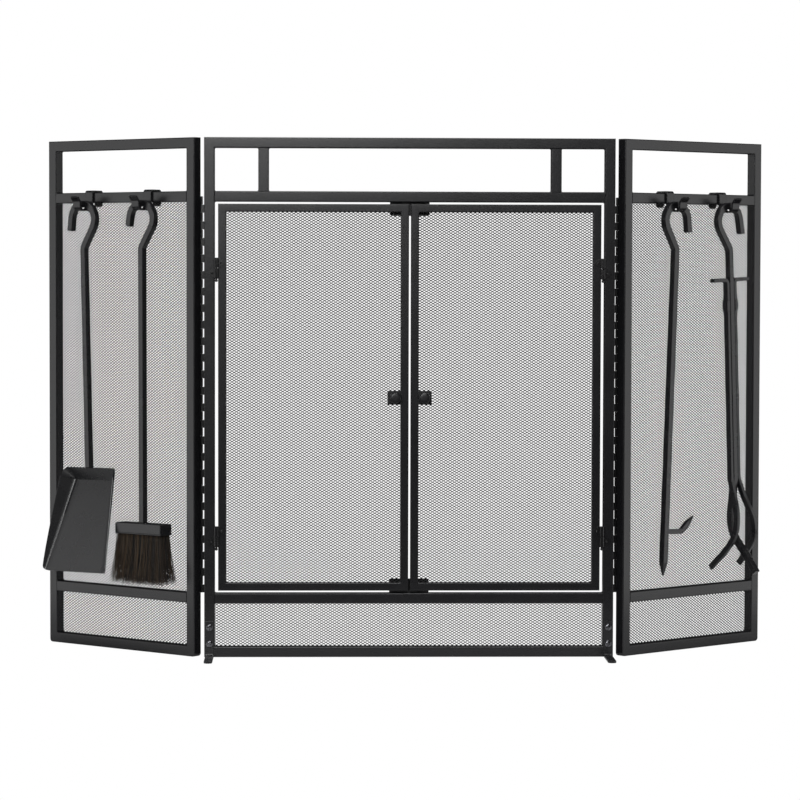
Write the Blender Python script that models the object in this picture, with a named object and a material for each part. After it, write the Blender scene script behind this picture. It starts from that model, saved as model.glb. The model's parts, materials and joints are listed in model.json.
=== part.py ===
"""Folding fireplace screen of square steel tube: a centre panel with two mesh doors, two side
panels on piano hinges, and four hooks with a shovel, a brush, a poker and a pair of tongs.

Metres, +Z up, +X to the right, the front faces -Y. The origin lies on the floor, under the middle
of the centre panel, whose tubes are centred on Y = 0."""
import math

import bmesh
import bpy
from mathutils import Matrix, Vector

# Frame
HEIGHT = 0.785
CENTRE_WIDTH = 0.620
SIDE_WIDTH = 0.304
TUBE = 0.016
TUBE_WALL = 0.0014
TUBE_ROUND = 0.0016
GAP = 0.0003
OVERCUT = 0.01               # how far a cutter reaches beyond what it cuts
HALF = TUBE / 2
HEADER_Z = 0.6963            # middle height of the header and of the side panels' hanging rails
SILL_Z = 0.0893              # middle height of the sill and of the side panels' low rails
POST_X = 0.2206
MESH_THICK = 0.001
MESH_LAP = 0.0076            # how far a mesh reaches over the back of the tubes around it

# Piano hinges between the panels
FOLD_ANGLE = math.radians(39.5)
HINGE_AXIS_OUT = 0.0046      # axis beyond the centre stile's outer face
HINGE_BARREL = 0.0022
HINGE_PIN = 0.0011
HINGE_LEAF = 0.001
HINGE_LEAF_WIDTH = 0.0070
HINGE_BOTTOM = 0.0966
HINGE_TOP = 0.6966
HINGE_KNUCKLES = 12
TAB_INSET = 0.0001           # the tabs are this much slimmer than the plate and the knuckles
FLAT_GAP = 0.0031            # between the stiles when a side panel is in line with the centre
AXIS_X = CENTRE_WIDTH / 2 + HINGE_AXIS_OUT
AXIS_Y = HALF + GAP + HINGE_BARREL
NEAR_EDGE = FLAT_GAP - HINGE_AXIS_OUT    # side panel's near edge, measured outward from its axis

# Doors
DOOR_INNER_X = 0.0015
DOOR_OUTER_X = 0.289
DOOR_BOTTOM = 0.101
DOOR_TOP = 0.6852
DOOR_BAR = 0.012
DOOR_MESH_LAP = 0.008
DOOR_PIN_X = 0.2915
DOOR_BARREL = 0.00375
DOOR_PIN_Y = -HALF - GAP - DOOR_BARREL
DOOR_HINGE_Z = (0.1834, 0.5886)
DOOR_KNUCKLE = 0.0155
DOOR_LEAF = 0.0015
LEAF_REACH = 0.0135          # from a door hinge's axis to the tip of a leaf
LEAF_TIP = 0.0030            # height of a leaf at its tip
DOOR_HINGE_PIN = 0.0017
DOOR_HINGE_BORE = 0.0021
KNOB_X = 0.0220
KNOB_Z = 0.3933
KNOB_PLATE_WIDTH = 0.0195
KNOB_PLATE_HEIGHT = 0.0210
KNOB_PLATE_THICK = 0.0030
KNOB_SET_BACK = 0.0010       # the plate's front lies this far behind the door's front

# Hooks and tools, in a side panel's own measures: out from its near edge, back from its front face
STRAP_WIDTH = 0.0154
STRAP_THICK = 0.003
HOOK_ARM_Z = 0.6773
HOOK_TAB = 0.006             # how far the strap hangs below the rail at the back
HOOK_REACH = 0.0295          # from the panel's front face to the middle of the lip's strap
LIP_FLARE = 0.006
LIP_BEND_Z = 0.690
LIP_TOP_Z = 0.6975
SADDLE_BEND = 0.0022
CRADLE_BEND = 0.0075
BAR = 0.0098
BAR_ROUND = 0.0012
CROOK_RADIUS = 0.0240
CROOK_Z = 0.6626
TOOL_DEPTH = -0.016
CROOK_TURN = math.radians(33.5)
CROOK_SPLAY = math.radians(8)
NECK_RADIUS = 0.009          # bend between a crook and its shaft
CROOK_TAILS = {"shovel": 0.0205, "brush": 0.0145, "poker": 0.0203, "tongs": 0.0238}

FINISHES = {
    "powder_coat": ((0.055, 0.055, 0.058), 0.45, 0.0),
    "mesh_coat": ((0.030, 0.030, 0.032), 0.50, 0.0),
    "tool_coat": ((0.050, 0.050, 0.052), 0.40, 0.0),
    "screw_coat": ((0.020, 0.020, 0.022), 0.35, 0.6),
    "bristle": ((0.020, 0.015, 0.013), 0.80, 0.0),
}


def clear_scene():
    for old in list(bpy.data.objects):
        bpy.data.objects.remove(old, do_unlink=True)


def make_material(name, finish):
    colour, roughness, metallic = FINISHES[finish]
    material = bpy.data.materials.new(name + "_" + finish)
    material.use_nodes = True
    shader = material.node_tree.nodes["Principled BSDF"]
    shader.inputs["Base Color"].default_value = (*colour, 1.0)
    shader.inputs["Roughness"].default_value = roughness
    shader.inputs["Metallic"].default_value = metallic
    return material


def make_empty(name, location, turn=None, parent=None):
    """A joint's frame: its origin lies on the joint's axis."""
    empty = bpy.data.objects.new(name, None)
    bpy.context.collection.objects.link(empty)
    empty.parent = parent
    empty.location = location
    if turn:
        empty.rotation_euler = turn
    return empty


def make_object(name, bm, parent=None, finish="powder_coat", side=1, smooth=False):
    """Turns a bmesh into a named part. With side -1 the shape is mirrored to the left."""
    if side < 0:
        bmesh.ops.scale(bm, vec=(-1, 1, 1), verts=bm.verts)
    bmesh.ops.recalc_face_normals(bm, faces=bm.faces)
    mesh = bpy.data.meshes.new(name)
    bm.to_mesh(mesh)
    bm.free()
    if smooth:
        mesh.shade_smooth()
        mesh.set_sharp_from_angle(angle=math.radians(35))
    part = bpy.data.objects.new(name, mesh)
    part.parent = parent
    part.data.materials.append(make_material(name, finish))
    bpy.context.collection.objects.link(part)
    return part


def combine(part, helper, operation):
    """Unites a part with a helper solid, or cuts it with one, and removes the helper."""
    modifier = part.modifiers.new(operation.lower(), "BOOLEAN")
    modifier.operation = operation
    modifier.solver = "EXACT"
    modifier.object = helper
    bpy.context.view_layer.update()
    evaluated = part.evaluated_get(bpy.context.evaluated_depsgraph_get())
    mesh = bpy.data.meshes.new_from_object(evaluated)
    mesh.name = part.name
    part.modifiers.clear()
    part.data = mesh
    bpy.data.objects.remove(helper, do_unlink=True)
    return part


def rounded_square(half_a, half_b, radius, steps):
    """Outline of a rectangle with round corners, anticlockwise from its lower right corner."""
    points = []
    for corner in range(4):
        sign_a = 1 if corner in (0, 1) else -1
        sign_b = 1 if corner in (1, 2) else -1
        for step in range(steps + 1):
            angle = math.radians(-90 + corner * 90 + 90 * step / steps)
            points.append((sign_a * (half_a - radius) + radius * math.cos(angle),
                           sign_b * (half_b - radius) + radius * math.sin(angle)))
    return points


def add_ring(bm, points):
    return [bm.verts.new(point) for point in points]


def bridge(bm, ring_a, ring_b):
    count = len(ring_a)
    for i in range(count):
        j = (i + 1) % count
        bm.faces.new((ring_a[i], ring_a[j], ring_b[j], ring_b[i]))


def box(low, high):
    bm = bmesh.new()
    add_box(bm, low, high)
    return bm


def add_box(bm, low, high):
    size = [b - a for a, b in zip(low, high)]
    middle = [(a + b) / 2 for a, b in zip(low, high)]
    made = bmesh.ops.create_cube(bm, size=1.0)
    bmesh.ops.scale(bm, vec=size, verts=made["verts"])
    bmesh.ops.translate(bm, vec=middle, verts=made["verts"])


def square_tube(start, end, across, mitred):
    """Hollow square tube between two points of its middle line. A mitred end is cut at 45 degrees
    and is longest on the side that the vector across points to; a plain end is cut square."""
    start, end, across = Vector(start), Vector(end), Vector(across)
    along = (end - start).normalized()
    third = along.cross(across)
    bm = bmesh.new()
    rings = []
    outer = rounded_square(HALF, HALF, TUBE_ROUND, 2)
    inner = rounded_square(HALF - TUBE_WALL, HALF - TUBE_WALL, TUBE_ROUND / 3, 2)
    for centre, sign in ((start, -1), (end, 1)):
        for outline in (outer, inner):
            ring = []
            for a, b in outline:
                reach = a - GAP / math.sqrt(2) if mitred else -GAP
                ring.append(centre + across * a + third * b + along * sign * reach)
            rings.append(add_ring(bm, ring))
    bridge(bm, rings[0], rings[2])
    bridge(bm, rings[1], rings[3])
    bridge(bm, rings[0], rings[1])
    bridge(bm, rings[2], rings[3])
    return bm


def sweep(points, half_a, half_b, radius, reference):
    """Carries a rounded bar section along a path. half_b is measured along the reference vector,
    half_a across it."""
    points = [Vector(p) for p in points]
    reference = Vector(reference)
    outline = rounded_square(half_a, half_b, radius, 1)
    bm = bmesh.new()
    rings = []
    for i, point in enumerate(points):
        ahead = (points[min(i + 1, len(points) - 1)] - point).normalized()
        behind = (point - points[max(i - 1, 0)]).normalized()
        tangent = (ahead + behind).normalized()
        side = tangent.cross(reference).normalized()
        depth = side.cross(tangent).normalized()
        stretch = 1 / max(0.5, tangent.dot(ahead if ahead.length else behind))
        rings.append(add_ring(bm, [point + side * a * stretch + depth * b for a, b in outline]))
    for ring_a, ring_b in zip(rings, rings[1:]):
        bridge(bm, ring_a, ring_b)
    bm.faces.new(rings[0])
    bm.faces.new(rings[-1])
    return bm


def fillet(points, radius, steps=4):
    """Replaces each inner corner of a polyline by a short arc."""
    points = [Vector(p) for p in points]
    path = [points[0]]
    for before, corner, after in zip(points, points[1:], points[2:]):
        d_in = (corner - before).normalized()
        d_out = (after - corner).normalized()
        turn = d_in.angle(d_out)
        if turn < 0.05:
            path.append(corner)
            continue
        back = radius * math.tan(turn / 2)
        bisector = (d_out - d_in).normalized()
        centre = corner + bisector * radius / math.cos(turn / 2)
        first = corner - d_in * back - centre
        axis = d_in.cross(d_out).normalized()
        for step in range(steps + 1):
            path.append(centre + Matrix.Rotation(turn * step / steps, 3, axis) @ first)
    path.append(points[-1])
    return path


def turned(profile, segments, axis="Z"):
    """Solid turned from (radius, height) points. Its first and last radius may be zero."""
    bm = bmesh.new()
    rings = []
    for radius, height in profile:
        if radius == 0:
            rings.append([bm.verts.new((0, 0, height))])
            continue
        angles = [2 * math.pi * k / segments for k in range(segments)]
        rings.append(add_ring(bm, [(radius * math.cos(t), radius * math.sin(t), height)
                                   for t in angles]))
    for ring_a, ring_b in zip(rings, rings[1:]):
        if len(ring_a) == 1 or len(ring_b) == 1:
            tip = (ring_a if len(ring_a) == 1 else ring_b)[0]
            rim = ring_b if len(ring_a) == 1 else ring_a
            for i in range(segments):
                bm.faces.new((rim[i], rim[(i + 1) % segments], tip))
        else:
            bridge(bm, ring_a, ring_b)
    for ring in (rings[0], rings[-1]):
        if len(ring) > 1:
            bm.faces.new(ring)
    if axis == "Y":
        bmesh.ops.rotate(bm, matrix=Matrix.Rotation(math.radians(90), 3, "X"), verts=bm.verts)
    if axis == "X":
        bmesh.ops.rotate(bm, matrix=Matrix.Rotation(math.radians(90), 3, "Y"), verts=bm.verts)
    return bm


def move(bm, offset):
    bmesh.ops.translate(bm, vec=offset, verts=bm.verts)
    return bm


def prism(outline, low, high, plane="XZ"):
    """Flat outline given a thickness: in plane XZ along Y, in plane XY along Z."""
    bm = bmesh.new()
    rings = []
    for level in (low, high):
        rings.append(add_ring(bm, [(a, level, b) if plane == "XZ" else (a, b, level)
                                   for a, b in outline]))
    bridge(bm, rings[0], rings[1])
    bm.faces.new(rings[0])
    bm.faces.new(rings[1])
    return bm


# ---------------------------------------------------------------- centre panel

def build_centre_frame():
    edge = CENTRE_WIDTH / 2 - HALF
    inner = CENTRE_WIDTH / 2 - TUBE
    for word, sign in (("left", -1), ("right", 1)):
        tube = square_tube((sign * edge, 0, HALF), (sign * edge, 0, HEIGHT - HALF), (sign, 0, 0), True)
        make_object("centre_stile_" + word, tube)
        post = square_tube((sign * POST_X, 0, HEADER_Z + HALF), (sign * POST_X, 0, HEIGHT - TUBE),
                           (1, 0, 0), False)
        make_object("centre_post_" + word, post)
    for name, height, outward in (("centre_top_rail", HEIGHT - HALF, 1), ("centre_bottom_rail", HALF, -1)):
        make_object(name, square_tube((-edge, 0, height), (edge, 0, height), (0, 0, outward), True))
    for name, height in (("centre_header", HEADER_Z), ("centre_sill", SILL_Z)):
        make_object(name, square_tube((-inner, 0, height), (inner, 0, height), (0, 0, 1), False))


def build_centre_mesh():
    reach_x = CENTRE_WIDTH / 2 - TUBE + MESH_LAP
    low = (-reach_x, HALF + GAP, TUBE - MESH_LAP)
    high = (reach_x, HALF + GAP + MESH_THICK, SILL_Z - HALF + MESH_LAP)
    make_object("centre_lower_mesh", box(low, high), finish="mesh_coat")


STOP_WIDTH = 0.060
STOP_THICK = 0.002
STOP_SHOWS = 0.0205          # how far a door stop stands out beside its rail
UPPER_STOP_LAP = 0.012
LOWER_STOP_LAP = 0.006


def build_door_stops():
    """Plates on the backs of the header and the sill, behind the place where the doors meet."""
    header, sill = HEADER_Z - HALF, SILL_Z + HALF
    spans = {"upper_door_stop": (header - STOP_SHOWS, header + UPPER_STOP_LAP),
             "lower_door_stop": (sill - LOWER_STOP_LAP, sill + STOP_SHOWS)}
    for name, (low, high) in spans.items():
        stop = box((-STOP_WIDTH / 2, HALF + GAP, low), (STOP_WIDTH / 2, HALF + GAP + STOP_THICK, high))
        make_object(name, stop)


FOOT_WIDTH = 0.0127
FOOT_THICK = 0.003
FOOT_HEIGHT = 0.055
FOOT_REACH = 0.075           # from the stile's front to the tongue's tip
SCREW_HEIGHTS = (0.0204, 0.0454)
SCREW_SHANK = 0.002
SCREW_HEAD = 0.005
SCREW_DOME = 0.003


def build_foot(word, sign):
    """Bent flat bar: a strip up the stile's front and a tongue with a round end along the floor."""
    centre = sign * (CENTRE_WIDTH / 2 - HALF)
    back = -HALF - GAP
    half = FOOT_WIDTH / 2
    round_centre = -HALF - FOOT_REACH + half
    outline = [(centre + half, back), (centre - half, back)]
    for step in range(9):
        angle = math.radians(180 + 180 * step / 8)
        outline.append((centre + half * math.cos(angle), round_centre + half * math.sin(angle)))
    foot = make_object("foot_" + word, prism(outline, 0, FOOT_THICK, "XY"))
    strip = box((centre - half, back - FOOT_THICK, FOOT_THICK / 2), (centre + half, back, FOOT_HEIGHT))
    combine(foot, make_object("strip", strip), "UNION")
    for height in SCREW_HEIGHTS:
        hole = turned([(SCREW_SHANK + GAP, -OVERCUT), (SCREW_SHANK + GAP, OVERCUT)], 12, "Y")
        move(hole, (centre, back, height))
        combine(foot, make_object("hole", hole), "DIFFERENCE")


def build_foot_screws(word, sign):
    """Pan-head screws: the shank passes through the foot, the head rests on its front."""
    centre = sign * (CENTRE_WIDTH / 2 - HALF)
    face = -HALF - GAP - FOOT_THICK - GAP
    profile = [(0, -FOOT_THICK), (SCREW_SHANK, -FOOT_THICK), (SCREW_SHANK, 0), (SCREW_HEAD, 0),
               (SCREW_HEAD, SCREW_DOME * 0.4), (SCREW_HEAD * 0.8, SCREW_DOME * 0.85), (0, SCREW_DOME)]
    for place, height in zip(("lower", "upper"), SCREW_HEIGHTS):
        screw = move(turned(profile, 16, "Y"), (centre, face, height))
        make_object("foot_screw_%s_%s" % (word, place), screw, finish="screw_coat", smooth=True)


# ---------------------------------------------------------------- doors

def build_door(word, sign):
    """A door hangs in an empty on its pin. Shapes are drawn for the right door and mirrored."""
    pin = make_empty("door_pin_" + word, (sign * DOOR_PIN_X, DOOR_PIN_Y, 0))
    outer, inner = DOOR_OUTER_X - DOOR_PIN_X, DOOR_INNER_X - DOOR_PIN_X
    front = -HALF - DOOR_PIN_Y
    back = front + DOOR_BAR
    frame = box((inner, front, DOOR_BOTTOM), (outer, back, DOOR_TOP))
    door = make_object(word + "_door_frame", frame, pin, side=sign)
    window = box((inner + DOOR_BAR, front - DOOR_BAR, DOOR_BOTTOM + DOOR_BAR),
                 (outer - DOOR_BAR, back + DOOR_BAR, DOOR_TOP - DOOR_BAR))
    combine(door, make_object("window", window, pin, side=sign), "DIFFERENCE")
    inset = DOOR_BAR - DOOR_MESH_LAP
    mesh = box((inner + inset, back + GAP, DOOR_BOTTOM + inset),
               (outer - inset, back + GAP + MESH_THICK, DOOR_TOP - inset))
    make_object(word + "_door_mesh", mesh, pin, "mesh_coat", sign)
    build_knob(word, sign, pin, inner)
    for place, split in zip(("lower", "upper"), DOOR_HINGE_Z):
        build_door_leaf("%s_door_%s_leaf" % (word, place), sign, pin, split)
        build_frame_leaf("%s_frame_%s_leaf" % (word, place), sign, split)


def build_knob(word, sign, pin, inner):
    """Turned knob on the square plate that is welded to the door's inner bar."""
    left = inner + DOOR_BAR + GAP
    front = -HALF - DOOR_PIN_Y + KNOB_SET_BACK
    plate = box((left, front, KNOB_Z - KNOB_PLATE_HEIGHT / 2),
                (left + KNOB_PLATE_WIDTH, front + KNOB_PLATE_THICK, KNOB_Z + KNOB_PLATE_HEIGHT / 2))
    knob = make_object(word + "_knob", plate, pin, side=sign)
    profile = [(0.0040, -0.002), (0.0036, 0.005), (0.0050, 0.0075), (0.0090, 0.0095),
               (0.0090, 0.0135), (0.0072, 0.0160), (0.0, 0.0160)]
    turning = move(turned(profile, 24, "Y"), (KNOB_X - DOOR_PIN_X, front, KNOB_Z))
    combine(knob, make_object("turning", turning, pin, side=sign), "UNION")


def leaf_outline(low, high):
    """Leaf with a pointed end: full height at the knuckle and for a third of its reach, then
    tapering to its tip."""
    middle, shoulder = (low + high) / 2, LEAF_REACH * 0.35
    start, low, high = 0.0005, low + TAB_INSET, high - TAB_INSET
    return [(start, low), (shoulder, low), (LEAF_REACH, middle - LEAF_TIP / 2),
            (LEAF_REACH, middle + LEAF_TIP / 2), (shoulder, high), (start, high)]


def build_door_leaf(name, sign, pin, split):
    """Upper half of a lift-off hinge: the knuckle drops over the pin, the leaf is on the door."""
    low, high = split + GAP / 2, split + DOOR_KNUCKLE
    front = -HALF - GAP - DOOR_LEAF - DOOR_PIN_Y
    outline = [(-x, z) for x, z in leaf_outline(low, high)]
    leaf = make_object(name, prism(outline, front, front + DOOR_LEAF), pin, side=sign)
    knuckle = turned([(DOOR_BARREL, low), (DOOR_BARREL, high)], 16)
    combine(leaf, make_object("knuckle", knuckle, pin, side=sign), "UNION")
    bore = turned([(DOOR_HINGE_BORE, low - OVERCUT), (DOOR_HINGE_BORE, high + OVERCUT)], 12)
    combine(leaf, make_object("bore", bore, pin, side=sign), "DIFFERENCE")


def build_frame_leaf(name, sign, split):
    """Lower half: the leaf on the stile with its knuckle, the pin and a small turned end."""
    low, high = split - DOOR_KNUCKLE, split - GAP / 2
    place = make_empty(name + "_place", (sign * DOOR_PIN_X, DOOR_PIN_Y, 0))
    front = -HALF - GAP - DOOR_LEAF - DOOR_PIN_Y
    outline = leaf_outline(low, high)
    leaf = make_object(name, prism(outline, front, front + DOOR_LEAF), place, side=sign)
    profile = [(0, low - 0.0055), (0.0016, low - 0.005), (0.0024, low - 0.0035), (0.0016, low - 0.0015),
               (DOOR_BARREL, low), (DOOR_BARREL, high), (DOOR_HINGE_PIN, high),
               (DOOR_HINGE_PIN, high + DOOR_KNUCKLE - 0.001), (0, high + DOOR_KNUCKLE)]
    combine(leaf, make_object("knuckle", turned(profile, 16), place, side=sign), "UNION")


# ---------------------------------------------------------------- side panels

def out(u):
    """Distance out from a side panel's near edge, as a coordinate from its fold axis."""
    return NEAR_EDGE + u


def back(n):
    """Distance back from a side panel's front face, as a coordinate from its fold axis."""
    return n - HALF - AXIS_Y


def build_side_frame(word, sign, panel):
    near, far = out(HALF), out(SIDE_WIDTH - HALF)
    mid = back(HALF)
    stiles = (("near", near, -1), ("far", far, 1))
    for place, x, outward in stiles:
        tube = square_tube((x, mid, HALF), (x, mid, HEIGHT - HALF), (outward, 0, 0), True)
        make_object("%s_panel_%s_stile" % (word, place), tube, panel, side=sign)
    for place, z, outward in (("top_rail", HEIGHT - HALF, 1), ("bottom_rail", HALF, -1)):
        tube = square_tube((near, mid, z), (far, mid, z), (0, 0, outward), True)
        make_object("%s_panel_%s" % (word, place), tube, panel, side=sign)
    for place, z in (("hanging_rail", HEADER_Z), ("low_rail", SILL_Z)):
        tube = square_tube((near + HALF, mid, z), (far - HALF, mid, z), (0, 0, 1), False)
        make_object("%s_panel_%s" % (word, place), tube, panel, side=sign)


def build_side_mesh(word, sign, panel):
    front = back(TUBE) + GAP
    low = (out(TUBE - MESH_LAP), front, TUBE - MESH_LAP)
    high = (out(SIDE_WIDTH - TUBE + MESH_LAP), front + MESH_THICK, HEADER_Z - HALF + MESH_LAP)
    make_object(word + "_panel_mesh", box(low, high), panel, "mesh_coat", sign)


def knuckle_span(index):
    pitch = (HINGE_TOP - HINGE_BOTTOM) / HINGE_KNUCKLES
    return HINGE_BOTTOM + index * pitch + GAP / 2, HINGE_BOTTOM + (index + 1) * pitch - GAP / 2


def build_piano_leaf(name, plate_from, plate_to, first, with_pin, parent, sign):
    """One leaf: a plate on the back of a stile and every second knuckle. Drawn with the pin at the
    parent's origin; the knuckles' tabs bridge the space between plate and barrel."""
    face = HALF + GAP - AXIS_Y
    outward = 1 if plate_to > plate_from else -1
    plate = box((min(plate_from, plate_to), face, HINGE_BOTTOM),
                (max(plate_from, plate_to), face + HINGE_LEAF, HINGE_TOP))
    leaf = make_object(name, plate, parent, side=sign)
    tabs = bmesh.new()
    for index in range(first, HINGE_KNUCKLES, 2):
        low, high = knuckle_span(index)
        ends = sorted((0, plate_from + outward * HINGE_LEAF))
        add_box(tabs, (ends[0], face + TAB_INSET, low + TAB_INSET),
                (ends[1], face + HINGE_LEAF - TAB_INSET, high - TAB_INSET))
    combine(leaf, make_object("tabs", tabs, parent, side=sign), "UNION")
    for index in range(first, HINGE_KNUCKLES, 2):
        low, high = knuckle_span(index)
        knuckle = turned([(HINGE_BARREL, low), (HINGE_BARREL, high)], 8)
        combine(leaf, make_object("knuckle", knuckle, parent, side=sign), "UNION")
    radius = HINGE_PIN if with_pin else HINGE_PIN + GAP
    reach = 0 if with_pin else OVERCUT
    rod = turned([(radius, HINGE_BOTTOM - reach), (radius, HINGE_TOP + reach)], 8)
    combine(leaf, make_object("rod", rod, parent, side=sign), "UNION" if with_pin else "DIFFERENCE")


def build_hook(name, u, panel, sign):
    """Bent strap that saddles the hanging rail and ends in a J for a tool's crook."""
    rail_top = HEADER_Z + HALF + GAP + STRAP_THICK / 2
    back_leg = TUBE + GAP + MESH_THICK + GAP + STRAP_THICK / 2
    front_leg = -GAP - STRAP_THICK / 2
    saddle = [(back_leg, HEADER_Z - HALF - HOOK_TAB), (back_leg, rail_top), (front_leg, rail_top)]
    cradle = [(front_leg, HOOK_ARM_Z), (-HOOK_REACH, HOOK_ARM_Z), (-HOOK_REACH, LIP_BEND_Z),
              (-HOOK_REACH - LIP_FLARE, LIP_TOP_Z)]
    upper = fillet([(0, *p) for p in saddle + cradle[:1]], SADDLE_BEND, 3)[:-1]
    lower = fillet([(0, *p) for p in saddle[-1:] + cradle], CRADLE_BEND, 5)[1:]
    path = [(out(u), back(p[1]), p[2]) for p in upper + lower]
    strap = sweep(path, STRAP_THICK / 2, STRAP_WIDTH / 2, STRAP_THICK / 8, (1, 0, 0))
    make_object(name, strap, panel, side=sign)


# ---------------------------------------------------------------- tools

def crook_path(tool, shaft_end):
    """Middle line of a hook handle, from its free end over the arch and down the shaft. The arch's
    centre is the origin; +X is the free end's side."""
    splay, turn = CROOK_SPLAY, CROOK_TURN
    start = Vector((CROOK_RADIUS * math.cos(splay), 0, CROOK_RADIUS * math.sin(splay)))
    outward = Vector((math.sin(splay), 0, -math.cos(splay)))
    path = [start + outward * CROOK_TAILS[tool]]
    steps = 14
    for step in range(steps + 1):
        angle = splay + (math.pi - splay + turn) * step / steps
        path.append(Vector((CROOK_RADIUS * math.cos(angle), 0, CROOK_RADIUS * math.sin(angle))))
    neck = -CROOK_RADIUS / math.sin(turn) - NECK_RADIUS * math.tan(turn / 2)
    for step in range(5):
        angle = turn * (1 - step / 4)
        path.append(Vector((-NECK_RADIUS * (1 - math.cos(angle)), 0, neck + NECK_RADIUS * math.sin(angle))))
    path.append(Vector((0, 0, shaft_end)))
    return path


def tool_empty(name, u, panel, sign, lean, tip_back=0.0):
    """A tool's frame at the centre of its crook's arch. lean turns its foot outward, tip_back turns
    its foot towards the panel."""
    turn = (tip_back, -lean * sign, 0)
    return make_empty(name, (sign * out(u), back(TOOL_DEPTH), CROOK_Z), turn, panel)


def below(z):
    """Height above the floor, as a coordinate from the crook's centre."""
    return z - CROOK_Z


PAN_TILT = math.radians(19.2)
PAN_LENGTH = 0.147
PAN_SHEET = 0.0015
PAN_FLARE = math.radians(38)         # how far the side walls lean outward
PAN_START = (0.0125, 0.259)          # depth and height of the back end of the pan's floor
PAN_BACK = (0.053, -0.015, 0.0163)   # half width, place and rise of the back wall's top edge
SHOVEL_SHAFT_END = 0.2797


def pan_point(s, w, h):
    """Shovel pan measures (down its length, across, up from its floor) in the tool's frame."""
    origin_y, origin_z = PAN_START[0], below(PAN_START[1])
    return (w, origin_y - s * math.sin(PAN_TILT) - h * math.cos(PAN_TILT),
            origin_z - s * math.cos(PAN_TILT) + h * math.sin(PAN_TILT))


def pan_section(t):
    """Half width of the floor, and the wall's rise, at a share t of the pan's length."""
    half = 0.040 + 0.022 * t
    rise = 0.0157 * (1 - t) ** 0.8 + 0.0048
    return half, rise


def build_shovel(panel, sign):
    place = tool_empty("shovel_place", 0.2132, panel, sign, math.radians(-1.2), math.radians(0.4))
    shaft = sweep(crook_path("shovel", below(SHOVEL_SHAFT_END)), BAR / 2, BAR / 2, BAR_ROUND, (0, 1, 0))
    make_object("shovel_handle", shaft, place, "tool_coat", sign)
    bm = bmesh.new()
    rows = []
    steps = 8
    for step in range(steps + 1):
        t = step / steps
        half, rise = pan_section(t)
        flare = rise * math.tan(PAN_FLARE)
        s = t * PAN_LENGTH
        rows.append(add_ring(bm, [pan_point(s, -half - flare, rise), pan_point(s, -half, 0),
                                  pan_point(s, half, 0), pan_point(s, half + flare, rise)]))
    for row_a, row_b in zip(rows, rows[1:]):
        for i in range(3):
            bm.faces.new((row_a[i], row_a[i + 1], row_b[i + 1], row_b[i]))
    first = rows[0]
    half, place_down, rise = PAN_BACK
    top = [bm.verts.new(pan_point(place_down, edge, rise)) for edge in (-half, half)]
    bm.faces.new((first[1], first[2], top[1], top[0]))
    bm.faces.new((first[0], first[1], top[0]))
    bm.faces.new((first[2], first[3], top[1]))
    pan = make_object("shovel_pan", bm, place, "tool_coat", sign)
    solidify = pan.modifiers.new("sheet", "SOLIDIFY")
    solidify.thickness = PAN_SHEET
    solidify.offset = 0
    return pan


BLOCK_TOP = 0.1995
BLOCK_BOTTOM = 0.183
BLOCK_HALF = (0.0475, 0.0135)
BRISTLE_END = 0.108


def build_brush(panel, sign):
    place = tool_empty("brush_place", 0.0912, panel, sign, math.radians(-0.2))
    shaft = sweep(crook_path("brush", below(BLOCK_TOP - 0.002)), BAR / 2, BAR / 2, BAR_ROUND, (0, 1, 0))
    handle = make_object("brush_handle", shaft, place, "tool_coat", sign)
    half_x, half_y = BLOCK_HALF
    block = box((-half_x, -half_y, below(BLOCK_BOTTOM)), (half_x, half_y, below(BLOCK_TOP)))
    combine(handle, make_object("block", block, place, side=sign), "UNION")
    levels = ((BLOCK_BOTTOM - GAP, 0.0445, 0.0110), (0.165, 0.0465, 0.0135), (0.140, 0.0490, 0.0175),
              (BRISTLE_END, 0.0515, 0.0210))
    bm = bmesh.new()
    rings = []
    for z, half_a, half_b in levels:
        outline = rounded_square(half_a, half_b, half_b * 0.6, 2)
        rings.append(add_ring(bm, [(a, b, below(z)) for a, b in outline]))
    for ring_a, ring_b in zip(rings, rings[1:]):
        bridge(bm, ring_a, ring_b)
    bm.faces.new(rings[0])
    bm.faces.new(rings[-1])
    make_object("brush_bristles", bm, place, "bristle", sign)


POKER_END = 0.140
POKER_POINT = 0.0215         # length of the drawn point below the shaft's end
BARB_Z = 0.187
BARB_HALF = 0.00375
BARB_REACH = (0.036, 0.061)  # where the barb turns up, and its tip
BARB_RISE = 0.023


def build_poker(panel, sign):
    """One forging: crook, shaft with a drawn point, and a barb that turns up beside it."""
    place = tool_empty("poker_place", 0.0945, panel, sign, math.radians(-2.6))
    end = below(POKER_END)
    shaft = sweep(crook_path("poker", end), BAR / 2, BAR / 2, BAR_ROUND, (0, 1, 0))
    poker = make_object("poker", shaft, place, "tool_coat", sign)
    tip = turned([(BAR * 0.64, end + 0.001), (BAR * 0.64, end - 0.0005),
                  (0.0012, end - POKER_POINT + 0.001), (0, end - POKER_POINT)], 4)
    bmesh.ops.rotate(tip, matrix=Matrix.Rotation(math.radians(45), 3, "Z"), verts=tip.verts)
    combine(poker, make_object("tip", tip, place, side=sign), "UNION")
    root = below(BARB_Z)
    turn, tip = BARB_REACH
    barb = fillet([(0.001, 0, root), (turn, 0, root), (tip, 0, root + BARB_RISE)], 0.012, 4)
    barb = sweep(barb, BARB_HALF, BARB_HALF, 0.0008, (0, 1, 0))
    combine(poker, make_object("barb", barb, place, side=sign), "UNION")


TONGS_PIVOT = 0.532
TONGS_LEAN = math.radians(2.4)
ARM_HALF = (0.0029, 0.0045)
ARM_OUT = 0.0081
TAB_OUT = 0.040              # finger tabs, measured from the handle's middle
TAB_Z = 0.572
CLAW_Z = 0.290               # the claws begin to bend below this height
BOLT = 0.0023
BOLT_HALF = 0.0125
BOSS = (0.0056, 0.0130, 0.0055, 0.009)   # inner and outer side, half depth and half height


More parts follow.
